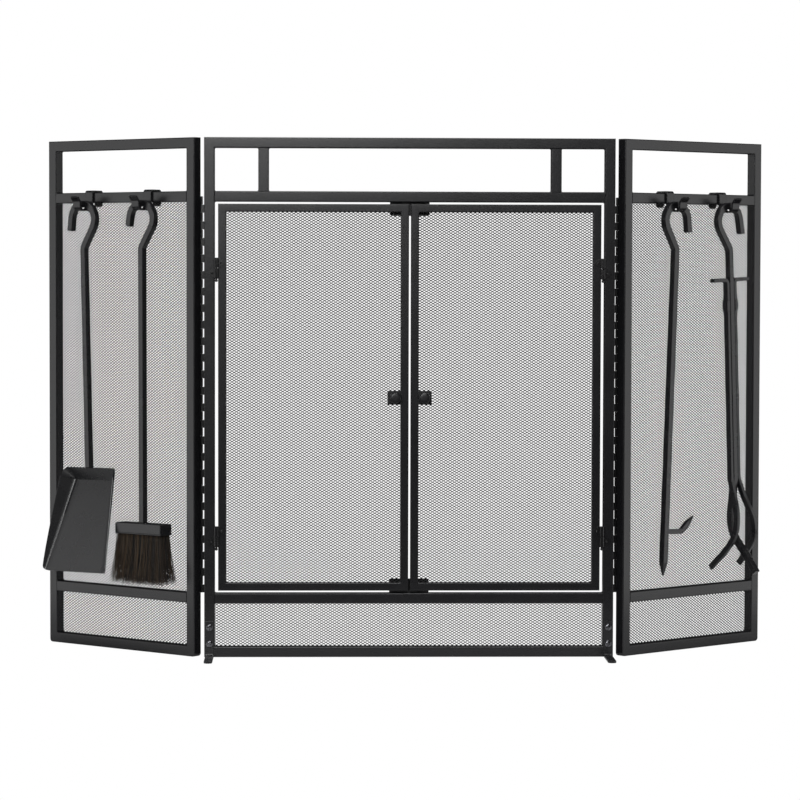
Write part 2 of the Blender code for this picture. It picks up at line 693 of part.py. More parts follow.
def smooth_path(points, steps):
    """Catmull-Rom curve through the points, for the claws."""
    points = [Vector(p) for p in points]
    padded = [2 * points[0] - points[1]] + points + [2 * points[-1] - points[-2]]
    path = []
    for a, b, c, d in zip(padded, padded[1:], padded[2:], padded[3:]):
        for step in range(steps):
            t = step / steps
            path.append(0.5 * (2 * b + (c - a) * t + (2 * a - 5 * b + 4 * c - d) * t ** 2
                               + (3 * b - a - 3 * c + d) * t ** 3))
    path.append(points[-1])
    return path


def build_tongs(panel, sign):
    place = tool_empty("tongs_place", 0.2113, panel, sign, TONGS_LEAN)
    claw = [(0, 0, 0.262), (0, 0.004, 0.232), (0, 0.0085, 0.200), (0, 0.003, 0.174), (0, -0.016, 0.150),
            (0, -0.029, 0.135), (0, -0.042, 0.1165)]
    claw = smooth_path([(x, y, below(z)) for x, y, z in claw], 3)
    shaft = sweep(crook_path("tongs", below(CLAW_Z)) + claw, BAR / 2, BAR / 2, BAR_ROUND, (0, 1, 0))
    handle = make_object("tongs_handle", shaft, place, "tool_coat", sign)
    hole = turned([(BOLT + GAP, -OVERCUT), (BOLT + GAP, OVERCUT)], 12, "X")
    combine(handle, make_object("hole", move(hole, (0, 0, below(TONGS_PIVOT))), place), "DIFFERENCE")
    build_tongs_fork(place, sign)


def build_tongs_fork(place, sign):
    """Two arms beside the handle on one bolt, with finger tabs above and splayed claws below."""
    pivot = make_empty("tongs_pivot", (0, 0, below(TONGS_PIVOT)), parent=place)
    bolt = turned([(BOLT, -BOLT_HALF), (BOLT, BOLT_HALF)], 12, "X")
    fork = make_object("tongs_fork", bolt, pivot, "tool_coat", sign)
    for hand in (-1, 1):
        top = [(TAB_OUT, 0, TAB_Z), (ARM_OUT, 0, TAB_Z), (ARM_OUT, 0, CLAW_Z)]
        claw = [(ARM_OUT, 0, 0.262), (0.0110, -0.010, 0.232), (0.0165, -0.0195, 0.207),
                (0.0205, -0.0215, 0.186), (0.0245, -0.0150, 0.166), (0.0275, -0.0010, 0.148),
                (0.0300, 0.0110, 0.136), (0.0325, 0.0235, 0.1235)]
        path = fillet(top, 0.006, 4) + smooth_path(claw, 3)
        path = [(hand * x, y, z - TONGS_PIVOT) for x, y, z in path]
        arm = sweep(path, *ARM_HALF, 0.0008, (0, 1, 0))
        combine(fork, make_object("arm", arm, pivot, side=sign), "UNION")
        ends = sorted((hand * BOSS[0], hand * BOSS[1]))
        boss = box((ends[0], -BOSS[2], -BOSS[3]), (ends[1], BOSS[2], BOSS[3]))
        combine(fork, make_object("boss", boss, pivot, side=sign), "UNION")


def build_side_panel(word, sign):
    """The panel's frame is its fold axis, turned so that the outer edge stands back."""
    panel = make_empty("fold_axis_" + word, (sign * AXIS_X, AXIS_Y, 0), (0, 0, sign * FOLD_ANGLE))
    build_side_frame(word, sign, panel)
    build_side_mesh(word, sign, panel)
    centre_side = make_empty("centre_hinge_" + word, (sign * AXIS_X, AXIS_Y, 0))
    edge = -HINGE_AXIS_OUT
    build_piano_leaf("centre_hinge_leaf_" + word, edge, edge - HINGE_LEAF_WIDTH, 0, True, centre_side,
                     sign)
    edge = max(out(0), HINGE_BARREL + GAP)
    build_piano_leaf(word + "_panel_hinge_leaf", edge, out(HINGE_LEAF_WIDTH), 1, False, panel, sign)
    return panel


def build_all():
    clear_scene()
    build_centre_frame()
    build_centre_mesh()
    build_door_stops()
    panels = {}
    for word, sign in (("left", -1), ("right", 1)):
        build_foot(word, sign)
        build_foot_screws(word, sign)
        build_door(word, sign)
        panels[word] = build_side_panel(word, sign)
    build_hook("shovel_hook", 0.2146, panels["left"], -1)
    build_hook("brush_hook", 0.0925, panels["left"], -1)
    build_hook("poker_hook", 0.0948, panels["right"], 1)
    build_hook("tongs_hook", 0.2120, panels["right"], 1)
    build_shovel(panels["left"], -1)
    build_brush(panels["left"], -1)
    build_poker(panels["right"], 1)
    build_tongs(panels["right"], 1)


build_all()
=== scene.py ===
import json
import math

import bpy
import numpy as np
from mathutils import Matrix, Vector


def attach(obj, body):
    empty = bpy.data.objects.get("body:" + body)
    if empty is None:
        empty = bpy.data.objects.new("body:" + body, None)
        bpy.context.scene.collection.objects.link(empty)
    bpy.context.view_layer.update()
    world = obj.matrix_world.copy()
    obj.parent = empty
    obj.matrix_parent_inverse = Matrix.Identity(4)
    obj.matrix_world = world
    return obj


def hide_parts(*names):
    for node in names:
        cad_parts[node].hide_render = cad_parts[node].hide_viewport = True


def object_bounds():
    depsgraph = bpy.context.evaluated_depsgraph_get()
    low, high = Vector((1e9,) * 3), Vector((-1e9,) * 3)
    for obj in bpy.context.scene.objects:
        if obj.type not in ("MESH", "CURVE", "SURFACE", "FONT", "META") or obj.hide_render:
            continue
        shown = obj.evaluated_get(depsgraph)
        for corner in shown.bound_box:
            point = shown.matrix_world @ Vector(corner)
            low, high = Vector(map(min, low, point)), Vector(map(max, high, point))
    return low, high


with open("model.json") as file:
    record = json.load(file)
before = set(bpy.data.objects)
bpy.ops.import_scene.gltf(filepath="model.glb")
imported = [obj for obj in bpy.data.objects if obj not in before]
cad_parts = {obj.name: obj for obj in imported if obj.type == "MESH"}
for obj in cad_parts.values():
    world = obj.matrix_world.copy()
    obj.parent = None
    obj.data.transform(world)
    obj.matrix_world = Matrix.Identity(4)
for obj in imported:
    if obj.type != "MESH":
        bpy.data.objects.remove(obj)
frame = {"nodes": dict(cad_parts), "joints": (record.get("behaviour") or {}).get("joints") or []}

# ---- The three panels in space ------------------------------------------------------------------
# The centre panel stands square to the room. Each side panel is folded back on its piano hinge, so
# its pieces are worked out flat beside the hinge's pin and then turned into place. What is drawn
# for the right side is mirrored to make the left one.
cad_low, cad_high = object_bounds()
joints = {joint["name"]: joint for joint in frame["joints"]}
MIRROR = np.diag([-1.0, 1.0, 1.0])


def turn_about(axis, angle):
    """Rotation matrix about one coordinate axis: cosines on the diagonal of the other two axes, and
    plus and minus the sine beside them."""
    i, j = {"x": (1, 2), "y": (2, 0), "z": (0, 1)}[axis]
    matrix = np.eye(3)
    matrix[i, i] = matrix[j, j] = math.cos(angle)
    matrix[i, j], matrix[j, i] = -math.sin(angle), math.sin(angle)
    return matrix


def folded(side):
    """Place of a side panel: x runs out from the hinge pin along the panel, y to its back, z up."""
    pin = joints[side + "_panel_fold"]
    angle = -math.radians(pin["range_deg"][0])
    place = turn_about("z", angle)
    return (MIRROR @ place if side == "left" else place), np.array([*pin["pos_m"][:2], 0.0])


spaces = {"centre": (np.eye(3), np.zeros(3)), "centre_left": (MIRROR, np.zeros(3)),
          "left": folded("left"), "right": folded("right")}


def corners(node, space="centre"):
    """Lowest and highest corner of a CAD node along a space's own directions: its points minus the
    origin, times the place's matrix, whose inverse is its transpose."""
    matrix, origin = spaces[space]
    mesh = frame["nodes"][node].data
    points = np.empty(len(mesh.vertices) * 3, np.float32)
    mesh.vertices.foreach_get("co", points)
    own = (points.reshape(-1, 3).astype(float) - origin) @ matrix
    return own.min(0), own.max(0)


# ---- Panel frames -------------------------------------------------------------------------------
# Each frame is welded from drawn square steel tube: four tubes mitred at the corners, with straight
# rails and posts between them. The welds are ground flush and the whole is powder coated black.
TUBE_HALF = 0.008
TUBE_CORNER = 0.0016
FOOT_CORNER = 0.005             # the side frames' lower corners are ground round by this radius


def linear(hex_colour):
    """An sRGB hex colour as linear red, green, blue and alpha: a share up to 0.04045 is divided by
    12.92, and a larger one is (share + 0.055) / 1.055 to the power 2.4."""
    share = np.array([int(hex_colour[i:i + 2], 16) for i in (1, 3, 5)]) / 255
    light = np.where(share <= 0.04045, share / 12.92, ((share + 0.055) / 1.055) ** 2.4)
    return (*light.tolist(), 1.0)


def add_node(tree, kind, inputs=(), **settings):
    """Adds a shader node of this kind. settings are its own properties; inputs maps a socket's name
    or number to a value, or to another node's output, which is linked."""
    node = tree.nodes.new(kind)
    for key, value in settings.items():
        setattr(node, key, value)
    for key, value in dict(inputs).items():
        if isinstance(value, bpy.types.NodeSocket):
            tree.links.new(value, node.inputs[key])
        else:
            node.inputs[key].default_value = value
    return node


def coating(name, dark, light, roughness, patch, grain, depth, spread=0.06):
    """A sprayed or dipped coating. Its colour drifts from dark to light in patches, its gloss drifts
    with them, and a finer noise raises the skin by depth. patch and grain are sizes in metres."""
    material = bpy.data.materials.new(name)
    material.use_nodes = True
    tree = material.node_tree
    shader = tree.nodes["Principled BSDF"]
    place = add_node(tree, "ShaderNodeTexCoord").outputs["Object"]
    drift = add_node(tree, "ShaderNodeTexNoise", {"Vector": place, "Scale": 1 / patch, "Detail": 3.0})
    colours = add_node(tree, "ShaderNodeMix", {"Factor": drift.outputs["Fac"], 6: linear(dark),
                                               7: linear(light)}, data_type="RGBA")
    gloss = add_node(tree, "ShaderNodeMapRange", {"Value": drift.outputs["Fac"],
                                                  "To Min": roughness - spread,
                                                  "To Max": roughness + spread})
    skin = add_node(tree, "ShaderNodeTexNoise", {"Vector": place, "Scale": 1 / grain, "Detail": 2.0})
    bump = add_node(tree, "ShaderNodeBump", {"Height": skin.outputs["Fac"], "Strength": 1.0,
                                             "Distance": depth})
    tree.links.new(colours.outputs["Result"], shader.inputs["Base Color"])
    tree.links.new(gloss.outputs["Result"], shader.inputs["Roughness"])
    tree.links.new(bump.outputs["Normal"], shader.inputs["Normal"])
    return material


# Black powder coat, baked on steel: a satin skin with faint orange peel, 1.6 mm from crest to crest.
powder_coat = coating("Powder_coated_steel", "#1A1A1C", "#202022", 0.25, 0.045, 0.0016, 0.000005,
                      0.03)


def rounded_outline(half_a, half_b, radius, steps=5):
    """Rectangle with round corners, anticlockwise: at each corner, the corner's centre plus the
    radius times the cosine and sine of an angle that runs through 90 degrees. Half sizes given as
    arrays make one outline for each entry."""
    half_a = np.asarray(half_a, float)[..., None, None]
    half_b = np.asarray(half_b, float)[..., None, None]
    angle = np.radians(np.arange(4)[:, None] * 90 - 90 + np.linspace(0, 90, steps + 1))
    sign_a, sign_b = np.array([[1], [1], [-1], [-1]]), np.array([[-1], [1], [1], [-1]])
    a = sign_a * (half_a - radius) + radius * np.cos(angle)
    b = sign_b * (half_b - radius) + radius * np.sin(angle)
    flat = np.stack(np.broadcast_arrays(a, b), axis=-1)
    return flat.reshape(*flat.shape[:-3], -1, 2)


def loft(rings):
    """Closed solids through stacks of rings, where rings[solid, station, k] is a point: each ring is
    joined to the next by four-cornered faces, and the first and last ring are closed by one face."""
    rings = np.asarray(rings, float)
    rings = rings.reshape(-1, *rings.shape[-3:])
    index = np.arange(rings[..., 0].size).reshape(rings.shape[:3])
    here, there = index[:, :-1], index[:, 1:]
    sides = np.stack([here, np.roll(here, -1, 2), np.roll(there, -1, 2), there], -1).reshape(-1, 4)
    return rings.reshape(-1, 3), sides, np.concatenate([index[:, 0, ::-1], index[:, -1]])


def volume(points, faces):
    """Six times the volume that faces cut off from the origin: over each face's fan of triangles,
    the sum of the triple product of the corners."""
    first, second, third = points[faces[:, :1]], points[faces[:, 1:-1]], points[faces[:, 2:]]
    return np.sum(np.cross(second, third) * first)


def piece(name, solids, material, body, stands_for=(), space="centre", smooth=40.0):
    """One object from closed solids drawn in a space: each point is the matrix times the drawn point,
    plus the origin. Where the volume comes out negative, every face is turned round."""
    matrix, origin = spaces[space]
    points, loops, lengths, first = [], [], [], 0
    for drawn, sides, caps in solids:
        placed = drawn @ matrix.T + origin
        inside_out = volume(placed, sides) + volume(placed, caps) < 0
        for faces in (sides, caps):
            faces = faces[:, ::-1] if inside_out else faces
            loops.append(faces.ravel() + first)
            lengths.append(np.full(len(faces), faces.shape[1]))
        points.append(placed)
        first += len(placed)
    points, loops, lengths = np.concatenate(points), np.concatenate(loops), np.concatenate(lengths)
    mesh = bpy.data.meshes.new(name)
    mesh.vertices.add(len(points))
    mesh.vertices.foreach_set("co", points.astype(np.float32).ravel())
    mesh.loops.add(len(loops))
    mesh.loops.foreach_set("vertex_index", loops.astype(np.int32))
    mesh.polygons.add(len(lengths))
    mesh.polygons.foreach_set("loop_start", (np.cumsum(lengths) - lengths).astype(np.int32))
    mesh.update(calc_edges=True)
    mesh.validate()
    mesh.materials.append(material)
    made = bpy.data.objects.new(name, mesh)
    bpy.context.scene.collection.objects.link(made)
    if smooth:
        mesh.shade_smooth()
        mesh.set_sharp_from_angle(angle=math.radians(smooth))
        even = made.modifiers.new("flat faces stay flat", "WEIGHTED_NORMAL")
        even.keep_sharp = True
    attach(made, body)
    if stands_for:
        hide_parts(*stands_for)
    return made


def tube(start, end, across, mitred, half=TUBE_HALF, corner=TUBE_CORNER):
    """Square tube along its middle line. Its stations crowd towards the ends. At a mitred end each
    point is moved along the tube by its own distance towards across, which cuts it at 45 degrees."""
    start, end, across = (np.asarray(point, float) for point in (start, end, across))
    length = np.linalg.norm(end - start)
    along = (end - start) / length
    outline = rounded_outline(half, half, corner)
    flat = outline[:, :1] * across + outline[:, 1:] * np.cross(along, across)
    reach = outline[:, :1] * along if mitred else 0 * flat
    near_end = np.linspace(0, 2 * half, 9) / length
    share = np.concatenate([near_end, 1 - near_end[::-1]])[:, None, None]
    return loft((start + flat - reach) * (1 - share) + (end + flat + reach) * share)


def round_corner(solid, corner, inward):
    """Grinds an outer corner of a frame round. Where a point lies beyond the arc's centre both
    across and up, its offset keeps its larger part as its length: a square becomes a quarter disc."""
    points, sides, caps = solid
    centre = np.asarray(corner) + np.asarray(inward) * FOOT_CORNER
    offset = (points[:, [0, 2]] - centre) * -np.sign(inward)
    beyond = (offset > 1e-9).all(1)
    length = np.where(beyond, np.hypot(*offset.T), 1)
    scale = np.where(beyond, offset.max(1) / length, 1)[:, None]
    points = points.copy()
    points[:, [0, 2]] = centre - np.sign(inward) * offset * scale
    return points, sides, caps


def build_frame(space, body, names, ground=()):
    """The tubes of one panel. names gives the CAD nodes of its two stiles, its top and bottom rail,
    and its inner rails; every tube ends on its neighbours' middle lines or inner faces."""
    (low_a, high_a), (low_b, high_b) = (corners(node, space) for node in names["stiles"])
    x0, x1 = sorted(((low_a + high_a)[0] / 2, (low_b + high_b)[0] / 2))
    y = (low_a + high_a)[1] / 2
    top, bottom = (corners(node, space) for node in names["ends"])
    z0, z1 = bottom[0][2] + TUBE_HALF, top[1][2] - TUBE_HALF
    tubes = {}
    for node, low in zip(names["stiles"], (low_a, low_b)):
        x, outward = (x0, -1) if low[0] < (x0 + x1) / 2 else (x1, 1)
        tubes[node] = tube((x, y, z0), (x, y, z1), (outward, 0, 0), True)
    for node, z, outward in zip(names["ends"], (z1, z0), (1, -1)):
        tubes[node] = tube((x0, y, z), (x1, y, z), (0, 0, outward), True)
    for node in names["rails"]:
        z = sum(corners(node, space))[2] / 2
        tubes[node] = tube((x0 + TUBE_HALF, y, z), (x1 - TUBE_HALF, y, z), (0, 0, 1), False)
    for node, solid in tubes.items():
        for corner, inward in ground:
            solid = round_corner(solid, corner, inward)
        piece(node + "_tube", [solid], powder_coat, body, [node], space)
    return x0, x1, y, z0, z1


centre = build_frame("centre", "centre_panel", {
    "stiles": ("centre_stile_left", "centre_stile_right"),
    "ends": ("centre_top_rail", "centre_bottom_rail"), "rails": ("centre_header", "centre_sill")})
header_high = corners("centre_header")[1]
for node in ("centre_post_left", "centre_post_right"):
    x = sum(corners(node))[0] / 2
    post = tube((x, 0, header_high[2]), (x, 0, cad_high.z - 2 * TUBE_HALF), (1, 0, 0), False)
    piece(node + "_tube", [post], powder_coat, "centre_panel", [node])

panels = {}
for side in ("left", "right"):
    word = side + "_panel_"
    near = corners(word + "near_stile", side)[0]
    far = corners(word + "far_stile", side)[1]
    panels[side] = build_frame(side, side + "_panel", {
        "stiles": (word + "near_stile", word + "far_stile"),
        "ends": (word + "top_rail", word + "bottom_rail"),
        "rails": (word + "hanging_rail", word + "low_rail")},
        ground=[((near[0], 0.0), (1, 1)), ((far[0], 0.0), (-1, 1))])

# ---- Weld fillets -------------------------------------------------------------------------------
# Only the inner corners keep their weld: a concave bead of MIG weld, with faint ripples where each
# pass of the torch stopped, coated with the tubes it joins.
BEAD_LEG = 0.0018
BEAD_RIPPLE = 0.0018


def corner_beads(openings, depth):
    """Beads in the four corners of each opening (x0, x1, z0, z1). Across, a bead is a triangle whose
    long side is hollow; along, its legs swell and shrink by a sine and fall to nothing at the ends."""
    openings = np.asarray(openings, float)
    x = openings[:, [0, 1, 0, 1]].ravel()
    z = openings[:, [2, 2, 3, 3]].ravel()
    into = np.tile([[1, 1], [-1, 1], [1, -1], [-1, -1]], (len(openings), 1))
    share = np.linspace(0, 1, 19)
    leg = BEAD_LEG * np.sqrt(np.sin(np.pi * np.clip(share, 0.02, 0.98))) ** 0.5
    leg = leg * (1 + 0.07 * np.sin(2 * np.pi * share * (depth[1] - depth[0]) / BEAD_RIPPLE))
    hollow = np.linspace(0, 1, 6)
    sag = 1 - 0.9 * hollow * (1 - hollow)
    across = np.concatenate([[-0.15], (1 - hollow) * sag]), np.concatenate([[-0.15], hollow * sag])
    dx = into[:, :1, None] * leg[None, :, None] * across[0]
    dz = into[:, 1:, None] * leg[None, :, None] * across[1]
    y = np.broadcast_to((depth[0] + (depth[1] - depth[0]) * share)[None, :, None], dx.shape)
    return loft(np.stack([x[:, None, None] + dx, y, z[:, None, None] + dz], -1))


def rail_heights(*nodes):
    """Under- and upper side of each rail, from the lowest rail to the highest."""
    return [(low[2], high[2]) for low, high in (corners(node) for node in nodes)]


x0, x1, _, z0, z1 = centre
inner, top, bottom = x1 - TUBE_HALF, z1 - TUBE_HALF, z0 + TUBE_HALF
(sill_low, sill_high), (head_low, head_high) = rail_heights("centre_sill", "centre_header")
post = [corners("centre_post_" + side) for side in ("left", "right")]
openings = [(-inner, inner, bottom, sill_low), (-inner, inner, sill_high, head_low),
            (-inner, post[0][0][0], head_high, top), (post[0][1][0], post[1][0][0], head_high, top),
            (post[1][1][0], inner, head_high, top)]
BEAD_DEPTH = TUBE_HALF - 0.0006
piece("centre_weld_fillets", [corner_beads(openings, (-BEAD_DEPTH, BEAD_DEPTH))], powder_coat,
      "centre_panel")
for side in ("left", "right"):
    x0, x1, y, z0, z1 = panels[side]
    (low_0, low_1), (hang_0, hang_1) = rail_heights(side + "_panel_low_rail",
                                                    side + "_panel_hanging_rail")
    levels = [(z0 + TUBE_HALF, low_0), (low_1, hang_0), (hang_1, z1 - TUBE_HALF)]
    openings = [(x0 + TUBE_HALF, x1 - TUBE_HALF, *level) for level in levels]
    piece(side + "_panel_weld_fillets", [corner_beads(openings, (y - BEAD_DEPTH, y + BEAD_DEPTH))],
          powder_coat, side + "_panel", space=side)

# ---- Expanded metal -----------------------------------------------------------------------------
# The mesh is steel sheet, slit and stretched: rows of thin strands zigzag across and meet in short
# bonds, which leaves diamond openings. The strands stand at a slant to the sheet. It is painted
# black and spot welded to the backs of the tubes.
DIAMOND_WIDE = 0.0066
DIAMOND_HIGH = 0.0041
BOND_LONG = 0.0018
STRAND_WIDE = 0.00155
STRAND_THICK = 0.00055
STRAND_SWING = 0.00085
STRAND_SLANT = math.radians(24)

# Black paint on expanded steel: thin and rather dull, so that the strands stay dark against light.
mesh_paint = coating("Painted_expanded_steel", "#141416", "#1A1A1C", 0.50, 0.030, 0.0012, 0.000004)


def expanded_sheet(low, high):
    """Strand k runs along x at half a diamond's height times k. At every half diamond its height
    swings up and down in turn, stays level over a bond, and every second strand swings the other
    way. Its section is a flat three-sided bar turned by the slant. The strands come as a lower and
    an upper half, to keep each piece's mesh small."""
    rows = int((high[2] - low[2] - STRAND_WIDE) / (DIAMOND_HIGH / 2))
    columns = int((high[0] - low[0]) / (DIAMOND_WIDE / 2)) + 1
    x = low[0] + (high[0] - low[0]) * np.arange(columns) / (columns - 1)
    z = low[2] + DIAMOND_HIGH / 2 * (np.arange(rows) + 0.5)
    x = (x[:, None] + (-BOND_LONG / 2, BOND_LONG / 2)).ravel().clip(low[0], high[0])
    swing = STRAND_SWING * (-1.0) ** (np.arange(rows)[:, None] + np.arange(columns).repeat(2))
    bar = np.array([[-1, -1], [1, 0], [-1, 1]]) * (STRAND_THICK / 2, STRAND_WIDE / 2)
    c, s = math.cos(STRAND_SLANT), math.sin(STRAND_SLANT)
    dy, dz = bar[:, 0] * c - bar[:, 1] * s, bar[:, 0] * s + bar[:, 1] * c
    height = (z[:, None] + swing)[..., None] + dz
    depth = np.broadcast_to((low[1] + high[1]) / 2 + dy, height.shape)
    rings = np.stack([np.broadcast_to(x[:, None], height.shape), depth, height], -1)
    return loft(rings[:rows // 2]), loft(rings[rows // 2:])


def lay_mesh(node, space, body):
    """One sheet in the place of its CAD node, in a lower and an upper half."""
    lower, upper = expanded_sheet(*corners(node, space))
    piece(node + "_expanded", [lower], mesh_paint, body, [node], space, smooth=0)
    piece(node + "_expanded_upper", [upper], mesh_paint, body, space=space, smooth=0)


lay_mesh("centre_lower_mesh", "centre", "centre_panel")
for side, space in (("left", "centre_left"), ("right", "centre")):
    lay_mesh(side + "_door_mesh", space, side + "_door")
    lay_mesh(side + "_panel_mesh", side, side + "_panel")


def turned(profile, centre, axis, around=24):
    """Turned solid: ring k lies profile[k][1] along the axis from the centre and has the radius
    profile[k][0]; its points go round by the cosine and sine of an even angle."""
    axis = np.asarray(axis, float)
    first = np.cross([0.0, 0.0, 1.0] if abs(axis[2]) < 0.9 else [1.0, 0.0, 0.0], axis)
    first /= np.linalg.norm(first)
    angle = np.linspace(0, 2 * np.pi, around, endpoint=False)[:, None]
    circle = np.cos(angle) * first + np.sin(angle) * np.cross(axis, first)
    radius, along = np.asarray(profile, float).T[..., None, None]
    return loft(np.asarray(centre, float) + along * axis + radius * circle)


def spot_welds(node, space, body, lap=0.0040, pitch=0.055):
    """Low round dimples along all four edges of a sheet, at even steps, lap inside its edge."""
    low, high = corners(node, space)
    spots = []
    for a, b in ((0, 2), (2, 0)):
        count = max(2, int((high[a] - low[a]) / pitch))
        run = np.linspace(low[a] + 2.5 * lap, high[a] - 2.5 * lap, count)
        for level in (low[b] + lap, high[b] - lap):
            spots += [(value, level) if a == 0 else (level, value) for value in run]
    dome = [(0.0021, -0.0004), (0.0020, 0.0001), (0.0014, 0.00035), (0.0004, 0.00045)]
    solids = [turned(dome, (x, high[1], z), (0, 1, 0), 10) for x, z in spots]
    piece(node + "_spot_welds", solids, mesh_paint, body, space=space)


for side, space in (("left", "centre_left"), ("right", "centre")):
    spot_welds(side + "_door_mesh", space, side + "_door")
    spot_welds(side + "_panel_mesh", side, side + "_panel")
spot_welds("centre_lower_mesh", "centre", "centre_panel")

# ---- Piano hinges -------------------------------------------------------------------------------
# A piano hinge joins each side panel to the centre. Two strips of 1 mm steel are rolled into
# alternate knuckles around one long pin and welded to the backs of the two stiles.
KNUCKLES = 48
BARREL = 0.0022
HINGE_CLEARANCE = 0.0003

# Zinc-plated hinge steel, sprayed black with the frame: a thinner, glossier coat than the tubes'.
hinge_paint = coating("Painted_hinge_steel", "#121213", "#171718", 0.26, 0.020, 0.0010, 0.000003,
                      0.04)


def plate(low, high, edge=0.0003, corner=0.0006):
    """Flat plate between two corners: rounded outlines through its thickness, inset at both faces
    by the edge's radius."""
    low, high = np.asarray(low, float), np.asarray(high, float)
    thin = int(np.argmin(high - low))
    a, b = (thin + 1) % 3, (thin + 2) % 3
    half, middle = (high - low) / 2, (high + low) / 2
    inset = np.array([edge, 0.3 * edge, 0, 0, 0.3 * edge, edge])
    level = half[thin] - np.array([0, 0.3 * edge, edge])
    outline = rounded_outline(half[a] - inset, half[b] - inset, corner)
    rings = np.empty((*outline.shape[:2], 3))
    rings[..., a], rings[..., b] = middle[a] + outline[..., 0], middle[b] + outline[..., 1]
    rings[..., thin] = middle[thin] + np.concatenate([-level, level[::-1]])[:, None]
    return loft(rings)


def knuckle_row(first, bottom, top, x, y, strip_edge, face):
    """Every second knuckle of a piano hinge, with the tab that runs into its strip: turned tubes
    with eased ends, an even step apart."""
    pitch = (top - bottom) / KNUCKLES
    solids = []
    for index in range(first, KNUCKLES, 2):
        low = bottom + index * pitch + HINGE_CLEARANCE / 2
        long = pitch - HINGE_CLEARANCE
        profile = [(BARREL - 0.0003, 0), (BARREL, 0.0003), (BARREL, long - 0.0003),
                   (BARREL - 0.0003, long)]
        solids.append(turned(profile, (x, y, low), (0, 0, 1), 16))
        ends = sorted((x, strip_edge))
        solids.append(plate((ends[0], face, low), (ends[1], face + 0.0009, low + long),
                            0.0001, 0.0002))
    return solids


def dabs(points, axis, radius, rise):
    """Low domes of weld metal at these points: turned solids whose radius shrinks as they rise."""
    profile = [(radius, -0.6 * rise), (0.93 * radius, 0.3 * rise), (0.6 * radius, 0.8 * rise),
               (0.15 * radius, rise)]
    return [turned(profile, point, axis, 12) for point in points]


for side, flat in (("left", "centre_left"), ("right", "centre")):
    pin_x = abs(spaces[side][1][0])
    pin_y = spaces[side][1][1]
    node = "centre_hinge_leaf_" + side
    low, high = corners(node, flat)
    stile = corners("centre_stile_" + side, flat)[1][0]
    face = low[1]
    solids = [plate((low[0], face, low[2]), (stile, face + 0.001, high[2]))]
    solids += knuckle_row(0, low[2], high[2], pin_x, pin_y, stile - 0.001, face)
    rod = [(0.0009, 0), (0.0011, 0.0003), (0.0011, high[2] - low[2] - 0.0003),
           (0.0009, high[2] - low[2])]
    solids.append(turned(rod, (pin_x, pin_y, low[2]), (0, 0, 1), 12))
    weld_z = np.linspace(low[2] + 0.03, high[2] - 0.03, 8)
    solids += dabs([(low[0], face + 0.0002, z) for z in weld_z], (0, 1, 0), 0.0026, 0.0013)
    piece(node + "_rolled", solids, hinge_paint, "centre_panel", [node], flat)

    node = side + "_panel_hinge_leaf"
    low, high = corners(node, side)
    face = low[1] if low[1] > -BARREL else -BARREL
    edge = BARREL + HINGE_CLEARANCE
    solids = [plate((edge, face, low[2]), (high[0], face + 0.001, high[2]))]
    solids += knuckle_row(1, low[2], high[2], 0, 0, edge + 0.001, face)
    solids += dabs([(high[0], face + 0.0002, z) for z in weld_z], (0, 1, 0), 0.0026, 0.0013)
    piece(node + "_rolled", solids, hinge_paint, side + "_panel", [node], side)

# ---- Doors --------------------------------------------------------------------------------------
# Each door is a mitred frame of 12 mm square tube with the mesh welded on behind it. They are drawn
# for the right side; the left door is its mirror image.
DOOR_TUBE_HALF = 0.006
DOOR_TUBE_CORNER = 0.0013

for side, space in (("left", "centre_left"), ("right", "centre")):
    node = side + "_door_frame"
    low, high = corners(node, space)
    x0, z0 = low[[0, 2]] + DOOR_TUBE_HALF
    x1, z1 = high[[0, 2]] - DOOR_TUBE_HALF
    y = (low + high)[1] / 2
    bars = [tube((x0, y, z0), (x0, y, z1), (-1, 0, 0), True, DOOR_TUBE_HALF, DOOR_TUBE_CORNER),
            tube((x1, y, z0), (x1, y, z1), (1, 0, 0), True, DOOR_TUBE_HALF, DOOR_TUBE_CORNER),
            tube((x0, y, z0), (x1, y, z0), (0, 0, -1), True, DOOR_TUBE_HALF, DOOR_TUBE_CORNER),
            tube((x0, y, z1), (x1, y, z1), (0, 0, 1), True, DOOR_TUBE_HALF, DOOR_TUBE_CORNER)]
    window = [(x0 + DOOR_TUBE_HALF, x1 - DOOR_TUBE_HALF, z0 + DOOR_TUBE_HALF, z1 - DOOR_TUBE_HALF)]
    reach = DOOR_TUBE_HALF - 0.0006
    bars.append(corner_beads(window, (y - reach, y + reach)))
    piece(node + "_mitred", bars, powder_coat, side + "_door", [node], space)

# ---- Door stops ---------------------------------------------------------------------------------
# Two small plates of 2 mm steel behind the header and the sill stop the doors where they meet.
for node in ("upper_door_stop", "lower_door_stop"):
    low, high = corners(node)
    seams = [(x, low[1] + 0.0004, z) for x in np.linspace(-0.022, 0.022, 3)
             for z in ((high[2],) if node[0] == "u" else (low[2],))]
    piece(node + "_plate", [plate(low, high, 0.0004, 0.003)] + dabs(seams, (0, 1, 0), 0.003, 0.0014),
          powder_coat, "centre_panel", [node])

# ---- Knobs --------------------------------------------------------------------------------------
# A turned steel knob on a square plate, welded to the inner bar of each door and coated black.

# Thick black coat on turned steel: a little smoother than the tubes, so its rim takes a highlight.
knob_coat = coating("Coated_turned_steel", "#18181A", "#1E1E20", 0.30, 0.012, 0.0012, 0.000004, 0.04)
KNOB_OUT = 0.0220
KNOB_HIGH = 0.3933

